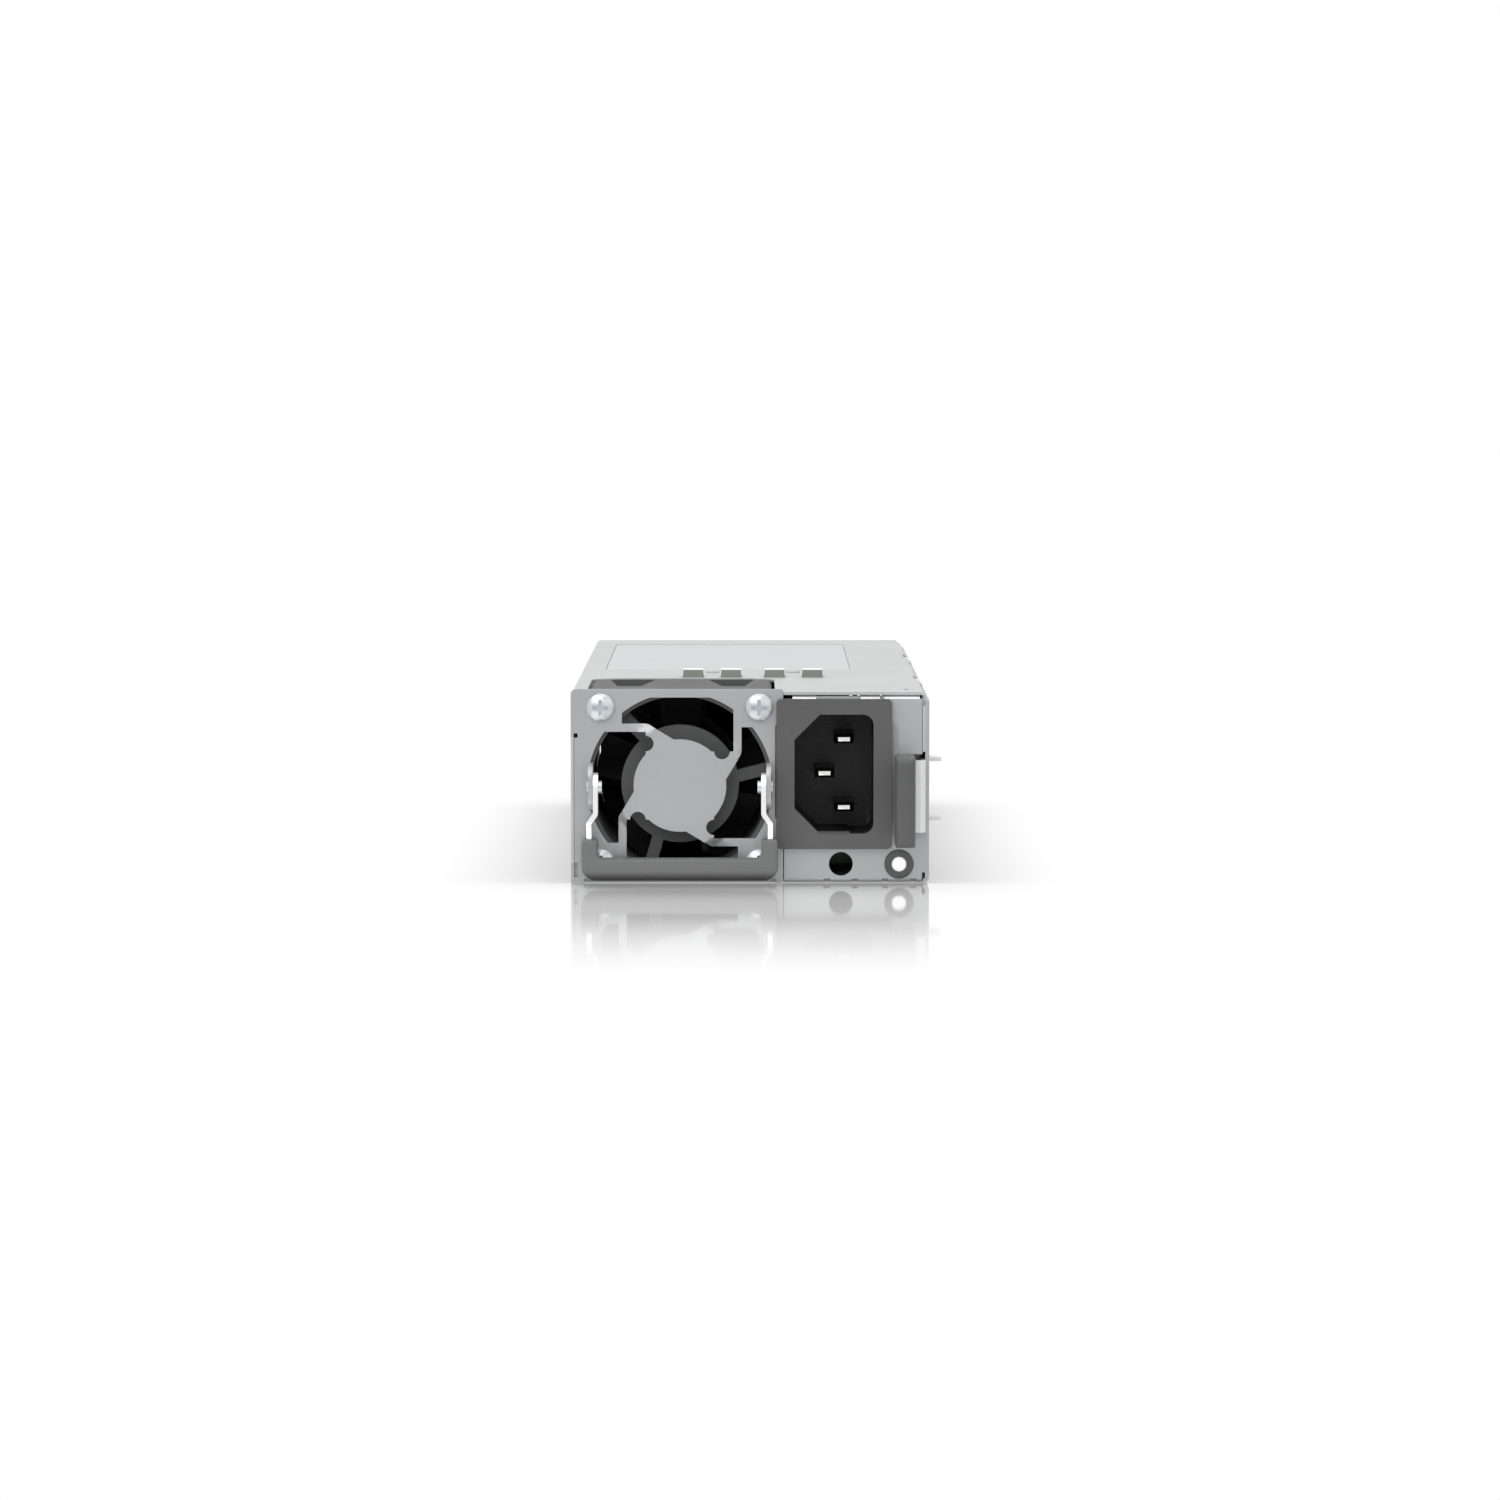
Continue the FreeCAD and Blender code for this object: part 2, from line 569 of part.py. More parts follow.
def rear_wall():
    """The vented wall that the edge tongue passes through."""
    path = [(REAR - TRAY_BEND_RUN, 0), (REAR, 0), (REAR, COVER_UNDER), (REAR - REAR_FLANGE, COVER_UNDER)]
    low, high = SKIRT_INNER + TRAY_SHEET + FIT_GAP, WALL_INNER - COVER_SHEET - FIT_GAP
    wall = bent_strip(path, TRAY_SHEET, BEND_RADIUS, "YZ", low, high)
    slot = span(0, 2 * (BOARD_HALF + EDGE_SLOT_MARGIN))
    cuts = [box(slot, (REAR - 2, REAR + 1), span(BOARD_BOTTOM + BOARD_THICKNESS / 2, EDGE_SLOT_HEIGHT))]
    row_pitch = VENT_PITCH * math.sqrt(3) / 2
    rows_middle = (BOARD_TOP + EDGE_SLOT_HEIGHT / 2 + COVER_UNDER - TRAY_SHEET) / 2
    for row in range(VENT_ROWS):
        z = rows_middle + (row - (VENT_ROWS - 1) / 2) * row_pitch
        columns = VENT_COLUMNS - row % 2
        for column in range(columns):
            x = (column - (columns - 1) / 2) * VENT_PITCH
            cuts.append(prism(hexagon(x, z, VENT_ACROSS / math.sqrt(3)), 0, "XZ", REAR - 2, REAR + 1))
    return wall.cut(cuts)


def chassis_tray():
    path = [(SKIRT_INNER, TRAY_LIP), (SKIRT_INNER, 0), (RIGHT, 0), (RIGHT, WALL_TOP)]
    tray = bent_strip(path, TRAY_SHEET, BEND_RADIUS, "XZ", FRONT, REAR)
    floor_right = WALL_INNER - BEND_RADIUS
    cuts = [box((LEFT - 1, PANEL_RIGHT + FIT_GAP), (FRONT - 1, FRONT + PANEL_SHEET + FIT_GAP),
                (-1, CASE_HEIGHT + 1))]
    cuts.append(box((PANEL_RIGHT, floor_right), (FRONT - 1, FRONT + TRAY_BEND_RUN), (-1, 2)))
    flange_left, flange_right = panel_flange_span()
    cuts.append(box((flange_left - FIT_GAP, flange_right + FIT_GAP),
                    (FRONT - 1, FRONT + PANEL_FLANGE + FIT_GAP), (-1, 2)))
    cuts.append(box((SKIRT_INNER + TRAY_SHEET + BEND_RADIUS, floor_right),
                    (REAR - TRAY_BEND_RUN, REAR + 1), (-1, 2)))
    tray = tray.cut(cuts + barb_slots())
    tray = joined([tray, front_wall(), rear_wall()] + hooked_tabs(1.0))
    latch_holes = [cone_screw(CONE_SHANK_RADIUS + RUN_GAP, RUN_GAP)]
    for z in latch_rivet_heights():
        latch_holes.append(cylinder(RIVET_RADIUS, (WALL_INNER - 2, latch_rivet_y(), z), X_AXIS, 4))
    return tray.cut(latch_holes)


def cover_windows():
    """Openings for the fan, the grounding fingers and their rivets."""
    top = (COVER_UNDER - 2, CASE_HEIGHT + 1)
    fan = rounded_block((FAN_X - FAN_SIZE / 2 - 2 * FIT_GAP, FAN_X + FAN_SIZE / 2 + 5 * FIT_GAP),
                        (FRONT - 9, FAN_REAR + 9 * FIT_GAP),
                        [0, 0, FAN_PLAN_CORNER, FAN_PLAN_CORNER], "XY", *top)
    windows = [fan]
    for centre in CLIP_CENTRES:
        for x in finger_centres(centre):
            windows.append(box(span(x, FINGER_WIDTH + 2 * FIT_GAP),
                               (FRONT + FINGER_FOOT - 2 * FIT_GAP, FRONT + FINGER_ROOT + 1.5), top))
            windows.append(box(span(x, FINGER_WIDTH + 2 * FOOT_NOTCH),
                               (FRONT + FINGER_FOOT - 4 * FIT_GAP, FRONT + FINGER_FOOT + 6 * FIT_GAP), top))
        windows.append(cylinder(RIVET_RADIUS, (centre, FRONT + CLIP_RIVET_SETBACK, COVER_UNDER - 1),
                                Z_AXIS, 3))
    return windows


def top_cover():
    path = [(WALL_INNER, CASE_HEIGHT - COVER_FLANGE), (WALL_INNER, CASE_HEIGHT),
            (LEFT, CASE_HEIGHT), (LEFT, 0.4)]
    cover = bent_strip(path, COVER_SHEET, BEND_RADIUS, "XZ", FRONT, REAR)
    under_panel = (FRONT - 1, FRONT + PANEL_SHEET + FIT_GAP)
    cuts = cover_windows()
    cuts.append(box((LEFT - 1, PANEL_RIGHT + FIT_GAP), under_panel, (SKIRT_NOSE[1], CASE_HEIGHT + 1)))
    cuts.append(box((LEFT - 1, PANEL_RIGHT), under_panel, (-1, SKIRT_NOSE[0])))
    front_edge = (FRONT - 1, FRONT + TRAY_SHEET + FIT_GAP)
    cuts.append(box((WALL_RIGHT - PLATE_INSET, WALL_RIGHT + FIT_GAP), front_edge, (WINDOW_TOP, COVER_UNDER)))
    cuts.append(box((WALL_RIGHT, WALL_INNER + 1), front_edge, (CASE_HEIGHT - COVER_CORNER_RELIEF, COVER_UNDER)))
    corner = (WALL_TOP - 3, CASE_HEIGHT + 1)
    for start, end in HOOK_SPANS:
        cuts.append(box((WALL_INNER - HOOK_REACH - FIT_GAP, RIGHT), (FRONT + start, FRONT + end), corner))
    cuts.append(box((WALL_INNER - HOOK_REACH, RIGHT), (REAR - REAR_NOTCH, REAR + 1), corner))
    cuts.append(cone_screw(CONE_SHANK_RADIUS + RUN_GAP, RUN_GAP))
    recess = label_block(0, LABEL_RECESS_CORNER, CASE_HEIGHT - LABEL_RECESS, CASE_HEIGHT + 1)
    pressed = label_block(COVER_SHEET, LABEL_RECESS_CORNER + COVER_SHEET,
                          COVER_UNDER - LABEL_RECESS, COVER_UNDER)
    return joined([cover.cut(cuts), pressed]).cut(recess)


def label_block(spread, corner, low, high):
    """The label's rectangle on the cover, widened on every side by spread."""
    return rounded_block((LABEL_SPAN[0] - spread, LABEL_SPAN[1] + spread),
                         (FRONT + LABEL_FRONT - spread, REAR - LABEL_BACK + spread), corner, "XY", low, high)


def cone_screw(shank, spread):
    """A countersunk screw with a low crown above the cover; spread widens it for its hole."""
    x, y = COVER_SCREW_X, FRONT + COVER_SCREW_SETBACK
    top, crown = CASE_HEIGHT, CASE_HEIGHT + CONE_HEAD_CROWN
    end = top - CONE_HEAD_HEIGHT - CONE_SHANK_LENGTH
    profile = [(0, crown), (CONE_HEAD_FLAT + spread, crown), (CONE_HEAD_RADIUS + spread, top),
               (shank, top - CONE_HEAD_HEIGHT), (shank, end), (0, end)]
    return turned_z(profile, [0] * len(profile), x, y)


def cover_screw():
    screw = cone_screw(CONE_SHANK_RADIUS, 0)
    y = FRONT + COVER_SCREW_SETBACK
    depth = (CASE_HEIGHT + CONE_HEAD_CROWN - CROSS_DEPTH, CASE_HEIGHT + 1)
    bars = [box(span(COVER_SCREW_X, CROSS_SPAN), span(y, CROSS_WIDTH), depth),
            box(span(COVER_SCREW_X, CROSS_WIDTH), span(y, CROSS_SPAN), depth)]
    return screw.cut(bars)


# ---------------------------------------------------------------- fan guard panel
def panel_flange_span():
    half = FAN_SIZE / 2 + RELIEF_WIDTH / 2
    return FAN_X - half + RELIEF_WIDTH, FAN_X + half - RELIEF_WIDTH


def guard_pattern():
    """The disc, its four arms and their webs, as one prism across the guard."""
    low, high = FRONT - 5, FRONT + 5
    pieces = [Part.makeCylinder(GUARD_DISC, high - low, FreeCAD.Vector(FAN_X, low, FAN_Z), Y_AXIS)]
    turn = math.radians(GUARD_ARM_TURN)
    inner_run = 9.0
    end = (-GUARD_ARM_BEND + inner_run * math.cos(turn), GUARD_ARM_OFFSET - inner_run * math.sin(turn))
    half = GUARD_ARM / 2
    path = [(-GUARD_RADIUS, GUARD_ARM_OFFSET - half), (-GUARD_ARM_BEND, GUARD_ARM_OFFSET - half),
            (end[0], end[1] - half)]
    shifted = [(FAN_X + u, FAN_Z + v) for u, v in path]
    arm = bent_strip(shifted, GUARD_ARM, 0.4, "XZ", low, high)
    lobe = math.radians(GUARD_LOBE_ANGLE)
    lobe_at = (GUARD_LOBE_CENTRE * math.cos(lobe), GUARD_LOBE_CENTRE * math.sin(lobe))
    web = prism([(FAN_X + lobe_at[0], FAN_Z + GUARD_ARM_OFFSET), (FAN_X + lobe_at[0], FAN_Z + 6.0),
                 (FAN_X, FAN_Z + 6.0), (FAN_X + end[0], FAN_Z + end[1])], 0, "XZ", low, high)
    eye = Part.makeCylinder(GUARD_LOBE_RADIUS, high - low,
                            FreeCAD.Vector(FAN_X + lobe_at[0], low, FAN_Z + lobe_at[1]), Y_AXIS)
    pad = rounded_block((FAN_X - GUARD_RADIUS - 1, FAN_X - GUARD_PAD),
                        (FAN_Z + GUARD_ARM_OFFSET, FAN_Z + GUARD_RADIUS), GUARD_PAD_CORNER, "XZ", low, high)
    branch = joined([arm, web.cut(eye), pad])
    for quarter in range(4):
        pieces.append(turned(branch, (FAN_X, 0, FAN_Z), 90 * quarter))
    return joined(pieces)


def guard_dish():
    """The guard's sheet before piercing: flat at the rim, raised towards the front in the middle."""
    rise = GUARD_RISE
    jog_end = GUARD_JOG_START + GUARD_JOG_RUN
    rim = GUARD_RADIUS + 2
    sheet = PANEL_SHEET
    profile = [(0, -rise), (GUARD_JOG_START, -rise), (jog_end, 0), (rim, 0), (rim, sheet), (jog_end, sheet),
               (GUARD_JOG_START, sheet - rise), (0, sheet - rise)]
    return revolved(profile, [0] * len(profile), (FAN_X, FRONT, FAN_Z))


def ear(side):
    """A pivot ear of the handle, standing out of the panel."""
    inner = FAN_X + side * EAR_INNER
    outer = inner + side * PANEL_SHEET
    points = [(FRONT, FAN_Z - EAR_HALF_HEIGHT), (FRONT, FAN_Z + EAR_HALF_HEIGHT),
              (FRONT - EAR_REACH, FAN_Z + EAR_HALF_HEIGHT), (FRONT - EAR_REACH, FAN_Z - EAR_HALF_HEIGHT)]
    plate = prism(points, [0, 0, EAR_CORNER, EAR_CORNER], "YZ", min(inner, outer), max(inner, outer))
    return plate.cut(cylinder(RIVET_RADIUS + RUN_GAP, (min(inner, outer) - 1, PIVOT_Y, FAN_Z), X_AXIS, 4))


def fan_guard_panel():
    low, high = FRONT, FRONT + PANEL_SHEET
    outline = [(LEFT, 0), (PANEL_RIGHT, 0), (PANEL_RIGHT, PANEL_HEIGHT), (LEFT, PANEL_HEIGHT)]
    plate = prism(outline, [0, 0, PANEL_CORNER / 2, PANEL_CORNER], "XZ", low, high)
    opening = Part.makeCylinder(GUARD_RADIUS, PANEL_SHEET + 2, FreeCAD.Vector(FAN_X, low - 1, FAN_Z), Y_AXIS)
    opening = opening.common(box(span(FAN_X, 3 * GUARD_RADIUS), (low - 2, high + 2),
                                 span(FAN_Z, 2 * GUARD_FLAT)))
    across = (low - 1, high + 1)
    skirt_edge = SKIRT_INNER + FIT_GAP
    cuts = [opening, box((LEFT - 1, skirt_edge), across, SKIRT_NOSE)]
    relief = (skirt_edge - FIT_GAP, skirt_edge + SKIRT_RELIEF)
    cuts.append(box(relief, across, (SKIRT_NOSE[0] - SKIRT_RELIEF_BOTTOM, SKIRT_NOSE[0] + FIT_GAP)))
    cuts.append(box(relief, across, (SKIRT_NOSE[1] - FIT_GAP, SKIRT_NOSE[1] + SKIRT_RELIEF_TOP)))
    flange_left, flange_right = panel_flange_span()
    for left in (flange_left - RELIEF_WIDTH, flange_right):
        cuts.append(box((left, left + RELIEF_WIDTH), across, (-1, RELIEF_HEIGHT)))
    for x, z in fan_screw_places():
        cuts.append(cylinder(PAN_SHANK_RADIUS + FIT_GAP, (x, low - 1, z), Y_AXIS, 4))
    plate = plate.cut(cuts)
    guard = guard_dish().common(guard_pattern())
    guard = guard.common(box(span(FAN_X, 2 * GUARD_RADIUS + 1), (low - 5, high),
                             span(FAN_Z, 2 * GUARD_FLAT + 1)))
    flange = bent_strip([(FRONT, RELIEF_HEIGHT + 1), (FRONT, 0), (FRONT + PANEL_FLANGE, 0)],
                        PANEL_SHEET, BEND_RADIUS, "YZ", flange_left, flange_right)
    plate = plate.cut(box((flange_left, flange_right), (low - 1, high + 1), (-1, RELIEF_HEIGHT + 1)))
    return joined([plate, guard, flange, ear(-1), ear(1)])


def fan_screw_places():
    places = []
    for side in (-1, 1):
        for level in (-1, 1):
            places.append((FAN_X + side * (FAN_SIZE / 2 - FAN_SCREW_INSET[0]),
                           FAN_Z + level * (FAN_SIZE / 2 - FAN_SCREW_INSET[1])))
    return places


def pan_screw(x, z):
    """A pan head screw through the panel, its head towards the front."""
    head = PAN_HEAD_HEIGHT
    rim = cylinder(PAN_HEAD_RADIUS, (x, FRONT - head, z), Y_AXIS, head)
    dome_radius = (PAN_HEAD_RADIUS ** 2 + PAN_DOME ** 2) / (2 * PAN_DOME)
    dome = Part.makeSphere(dome_radius, FreeCAD.Vector(x, FRONT - head + dome_radius, z))
    shank = cylinder(PAN_SHANK_RADIUS, (x, FRONT, z), Y_AXIS, PAN_SHANK_LENGTH)
    screw = joined([rim.common(dome), shank])
    depth = (FRONT - head - 1, FRONT - head + CROSS_DEPTH)
    bars = [box(span(x, CROSS_SPAN), depth, span(z, CROSS_WIDTH)),
            box(span(x, CROSS_WIDTH), depth, span(z, CROSS_SPAN))]
    return screw.cut(bars)


def fan_screws():
    return Part.makeCompound([pan_screw(x, z) for x, z in fan_screw_places()])


# ---------------------------------------------------------------- fan
def strut_ring(front_side):
    """The motor base with its struts and bearing tube, at the front or rear of the duct."""
    if front_side:
        face, way = FAN_FRONT + FAN_BASE_SETBACK, 1
    else:
        face, way = FAN_REAR - FAN_BASE_SETBACK, -1
    back = face + way * FAN_BASE_PLATE
    tube_end = back + way * (ROTOR_GAP + HUB_LENGTH - HUB_WALL - ROTOR_GAP)
    low, high = min(face, back), max(face, back)
    pieces = [Part.makeCylinder(FAN_BASE_RADIUS, high - low, FreeCAD.Vector(FAN_X, low, FAN_Z), Y_AXIS)]
    for index in range(STRUT_COUNT):
        strut = box((FAN_X, FAN_X + FAN_BORE + 0.4), (low, high), span(FAN_Z - STRUT_OFFSET, STRUT_WIDTH))
        pieces.append(turned(strut, (FAN_X, 0, FAN_Z), -(STRUT_ANGLE + 360 * index / STRUT_COUNT)))
    tube = sorted((back, tube_end))
    pieces.append(cylinder(BEARING_TUBE, (FAN_X, tube[0], FAN_Z), Y_AXIS, tube[1] - tube[0]))
    bored = sorted((back - way * 0.8, tube_end + way))
    bore = cylinder(SHAFT_RADIUS + RUN_GAP, (FAN_X, bored[0], FAN_Z), Y_AXIS, bored[1] - bored[0])
    return joined(pieces).cut(bore)


def fan_pockets():
    """Hollows beside the duct, between the corner posts of the rear part."""
    start, end = FAN_FRONT + POCKET_START, FAN_REAR - 1.2
    half = FAN_SIZE / 2
    outer = Part.makeCylinder(half, end - start + 2, FreeCAD.Vector(FAN_X, start - 1, FAN_Z), Y_AXIS)
    pockets = []
    for mirror in (-1, 1):
        points = [(FAN_X + mirror * POCKET_NEAR[0], start), (FAN_X + mirror * POCKET_NEAR[1], start),
                  (FAN_X + mirror * POCKET_FAR[1], end), (FAN_X + mirror * POCKET_FAR[0], end)]
        wedge = prism(points, 0, "XY", FAN_Z + 6, FAN_Z + half + 1)
        pockets.append(wedge.cut(outer))
    everywhere = []
    for quarter in range(4):
        for pocket in pockets:
            everywhere.append(turned(pocket, (FAN_X, 0, FAN_Z), 90 * quarter))
    return everywhere


def fan_housing():
    square = rounded_block(span(FAN_X, FAN_SIZE), span(FAN_Z, FAN_SIZE), FAN_EDGE_CORNER, "XZ",
                           FAN_FRONT, FAN_REAR)
    plan = rounded_block(span(FAN_X, FAN_SIZE), (FAN_FRONT, FAN_REAR),
                         [0, 0, FAN_PLAN_CORNER, FAN_PLAN_CORNER], "XY", 0, 2 * FAN_SIZE)
    side = rounded_block((FAN_FRONT, FAN_REAR), span(FAN_Z, FAN_SIZE), [BEND_RADIUS + FIT_GAP, 0, 0, 0], "YZ",
                         FAN_X - FAN_SIZE, FAN_X + FAN_SIZE)
    body = square.common(plan).common(side)
    duct = cylinder(FAN_BORE, (FAN_X, FAN_FRONT - 1, FAN_Z), Y_AXIS, FAN_LENGTH + 2)
    cuts = [duct] + fan_pockets()
    for x, z in fan_screw_places():
        cuts.append(cylinder(PAN_SHANK_RADIUS, (x, FAN_FRONT - 1, z), Y_AXIS, PAN_SHANK_LENGTH + 2))
    return joined([body.cut(cuts), strut_ring(True), strut_ring(False)])


def stator(front_side):
    """Laminated motor core on a bearing tube, with its windings between the teeth."""
    back = fan_base_back(front_side)
    way = 1 if front_side else -1
    start = back + way * ROTOR_GAP
    length = HUB_LENGTH - HUB_WALL - 3 * ROTOR_GAP
    low = min(start, start + way * length)
    core = cylinder(STATOR_RADIUS, (FAN_X, low, FAN_Z), Y_AXIS, length)
    cuts = [cylinder(BEARING_TUBE, (FAN_X, low - 1, FAN_Z), Y_AXIS, length + 2)]
    for index in range(4):
        slot = box((FAN_X + 4.6, FAN_X + STATOR_RADIUS + 1), (low - 1, low + length + 1), span(FAN_Z, 1.2))
        cuts.append(turned(slot, (FAN_X, 0, FAN_Z), 45 + 90 * index))
    return core.cut(cuts)


def fan_stators():
    return Part.makeCompound([stator(True), stator(False)])


def fan_base_back(front_side):
    if front_side:
        return FAN_FRONT + FAN_BASE_SETBACK + FAN_BASE_PLATE
    return FAN_REAR - FAN_BASE_SETBACK - FAN_BASE_PLATE


def blade_section(radius, stagger, hand, middle):
    """A thin cambered section, flat in a plane square to the radius."""
    angle = math.radians(stagger)
    along = FreeCAD.Vector(hand * math.sin(angle), math.cos(angle), 0)
    across = FreeCAD.Vector(-along.y, along.x, 0) * hand
    centre = FreeCAD.Vector(FAN_X, middle, FAN_Z + radius)
    nose = centre - along * (BLADE_CHORD / 2)
    tail = centre + along * (BLADE_CHORD / 2)
    upper = centre + across * (BLADE_CAMBER + BLADE_THICKNESS / 2)
    lower = centre + across * (BLADE_CAMBER - BLADE_THICKNESS / 2)
    return Part.Wire([Part.Arc(nose, upper, tail).toShape(), Part.Arc(tail, lower, nose).toShape()])


def rotor(front_side, blade_count):
    """Hub, shaft and twisted blades of one stage."""
    back = fan_base_back(front_side)
    way = 1 if front_side else -1
    near = back + way * ROTOR_GAP
    far = near + way * HUB_LENGTH
    inside = HUB_RADIUS - HUB_WALL
    shaft_end = back - way * 0.5
    web = far - way * HUB_WALL
    profile = [(0, far), (inside, far), (HUB_RADIUS, web), (HUB_RADIUS, near), (inside, near), (inside, web),
               (SHAFT_RADIUS, web), (SHAFT_RADIUS, shaft_end), (0, shaft_end)]
    hub = revolved(profile, [0] * len(profile), (FAN_X, 0, FAN_Z))
    middle = (near + far) / 2
    hand = way
    sections = [blade_section(HUB_RADIUS - 1.6, BLADE_STAGGER[0], hand, middle),
                blade_section(BLADE_TIP + 1, BLADE_STAGGER[1], hand, middle)]
    blade = Part.makeLoft(sections, True, True)
    low, high = min(near, far), max(near, far)
    ring = cylinder(BLADE_TIP, (FAN_X, low, FAN_Z), Y_AXIS, high - low)
    ring = ring.cut(cylinder(HUB_RADIUS - HUB_WALL / 2, (FAN_X, low - 1, FAN_Z), Y_AXIS, high - low + 2))
    blade = blade.common(ring)
    pieces = [hub]
    for index in range(blade_count):
        pieces.append(turned(blade, (FAN_X, 0, FAN_Z), 360 * index / blade_count))
    return joined(pieces)


# ---------------------------------------------------------------- AC inlet
def inlet_body_span():
    """Left, right, bottom and top of the inlet's body behind the wall."""
    left = INLET_CAVITY_LEFT - INLET_WALL
    right = INLET_CAVITY_LEFT + INLET_CAVITY_WIDTH + INLET_WALL
    low = INLET_CAVITY_BOTTOM - INLET_WALL
    high = INLET_CAVITY_BOTTOM + INLET_CAVITY_HEIGHT + INLET_WALL
    return left, right, low, high


def inlet_outline(spread, low, high):
    """The plug outline: two chamfered corners on the earth side and two round ones."""
    left, right = INLET_CAVITY_LEFT - spread, INLET_CAVITY_LEFT + INLET_CAVITY_WIDTH + spread
    bottom, top = INLET_CAVITY_BOTTOM - spread, INLET_CAVITY_BOTTOM + INLET_CAVITY_HEIGHT + spread
    chamfer = INLET_CHAMFER + spread * (2 - math.sqrt(2))
    points = [(left + chamfer, bottom), (right, bottom), (right, top), (left + chamfer, top),
              (left, top - chamfer), (left, bottom + chamfer)]
    corner = INLET_CORNER + spread
    return prism(points, [0.6, corner, corner, 0.6, 0.6, 0.6], "XZ", low, high)


def ac_inlet_housing():
    flange = rounded_block((INLET_FLANGE_LEFT, INLET_FLANGE_LEFT + INLET_FLANGE_WIDTH),
                           (INLET_FLANGE_BOTTOM, INLET_FLANGE_BOTTOM + INLET_FLANGE_HEIGHT),
                           INLET_FLANGE_CORNER, "XZ", FRONT - INLET_FLANGE_PROUD, FRONT)
    plate = rounded_block((INLET_FLANGE_LEFT + INLET_PLATE[0], INLET_FLANGE_LEFT + INLET_PLATE[1]),
                          (INLET_FLANGE_BOTTOM + INLET_PLATE_INSET[0],
                           WALL_UPPER_EDGE - INLET_PLATE_INSET[1]),
                          INLET_PLATE_CORNER, "XZ", FRONT - INLET_PLATE_PROUD, FRONT)
    floor = INLET_CAVITY_FLOOR
    body = inlet_outline(INLET_WALL, FRONT, floor + INLET_BACK)
    cavity = inlet_outline(0, FRONT - INLET_FLANGE_PROUD - 1, floor)
    ledge = box((INLET_CAVITY_LEFT + INLET_LEDGE[0], INLET_CAVITY_LEFT + INLET_LEDGE[1]),
                (FRONT - INLET_FLANGE_PROUD + INLET_LEDGE_START, floor),
                (INLET_CAVITY_BOTTOM, INLET_CAVITY_BOTTOM + INLET_LEDGE_HEIGHT))
    cuts = []
    for x, z in pin_places():
        cuts.append(box(span(x, PIN_WIDTH), (floor - 1, floor + INLET_BACK + 1), span(z, PIN_THICKNESS)))
    lower_z = PIN_CENTRE_Z - PIN_SPACING / 2
    wide, high, deep = INLET_DIMPLE
    cuts.append(box(span(PIN_ROW_X + INLET_DIMPLE_OFFSET, wide), (floor - 1, floor + deep),
                    span(lower_z, high)))
    return joined([joined([flange, plate, body]).cut(cavity), ledge]).cut(cuts)


def pin_places():
    return [(PIN_ROW_X, PIN_CENTRE_Z + PIN_SPACING / 2), (PIN_ROW_X, PIN_CENTRE_Z - PIN_SPACING / 2),
            (EARTH_PIN_X, PIN_CENTRE_Z)]


def contact_pin(x, z):
    """A flat contact with a tapered tip and a narrower tail for the filter board."""
    tip = FRONT - INLET_FLANGE_PROUD + PIN_RECESS
    shoulder = tip + PIN_TAPER
    end = INLET_CAVITY_FLOOR + INLET_BACK
    blade = box(span(x, PIN_WIDTH), (shoulder, end), span(z, PIN_THICKNESS))
    wires = []
    for y, wide, thick in ((tip, PIN_TIP[0], PIN_TIP[1]), (shoulder, PIN_WIDTH, PIN_THICKNESS)):
        corners = [(x - wide / 2, y, z - thick / 2), (x + wide / 2, y, z - thick / 2),
                   (x + wide / 2, y, z + thick / 2), (x - wide / 2, y, z + thick / 2)]
        wires.append(Part.makePolygon([FreeCAD.Vector(*corner) for corner in corners + corners[:1]]))
    nose = Part.makeLoft(wires, True, True)
    tail = box(span(x, PIN_WIDTH / 2), (end, end + PIN_TAIL), span(z, PIN_THICKNESS / 2))
    return joined([nose, blade, tail])


# ---------------------------------------------------------------- handle
def arm_face(side):
    """X of the arm's outer face, above its jog."""
    return FAN_X + side * (EAR_INNER - RUN_GAP)


def handle_arm(side):
    outer = arm_face(side)
    jog_top, jog_bottom = FAN_Z - ARM_JOG[0], FAN_Z - ARM_JOG[1]
    step = outer + side * ARM_OUTER_STEP
    path = [(outer, FAN_Z + ARM_END_RADIUS), (outer, jog_top), (step, jog_bottom), (step, ARM_BOTTOM)]
    if side > 0:
        path = [(x, z) for x, z in path[::-1]]
    strip = bent_strip(path, ARM_SHEET, BEND_RADIUS, "XZ", PIVOT_Y - 4, PIVOT_Y + 4)
    tail = ARM_TAIL_WIDTH / 2
    shoulder = jog_bottom - 3.5
    blank = prism([(PIVOT_Y - ARM_END_RADIUS, FAN_Z), (PIVOT_Y - ARM_END_RADIUS, jog_bottom),
                   (PIVOT_Y - tail, shoulder), (PIVOT_Y - tail, ARM_BOTTOM - 1),
                   (PIVOT_Y + tail, ARM_BOTTOM - 1), (PIVOT_Y + tail, shoulder),
                   (PIVOT_Y + ARM_END_RADIUS, jog_bottom), (PIVOT_Y + ARM_END_RADIUS, FAN_Z)],
                  [0, 1.5, 1.5, 0, 0, 1.5, 1.5, 0], "YZ", FAN_X - FAN_SIZE, FAN_X + FAN_SIZE)
    eye = cylinder(ARM_END_RADIUS, (FAN_X - FAN_SIZE, PIVOT_Y, FAN_Z), X_AXIS, 2 * FAN_SIZE)
    arm = strip.common(joined([blank, eye]))
    return arm.cut(cylinder(RIVET_RADIUS, (FAN_X - FAN_SIZE, PIVOT_Y, FAN_Z), X_AXIS, 2 * FAN_SIZE))


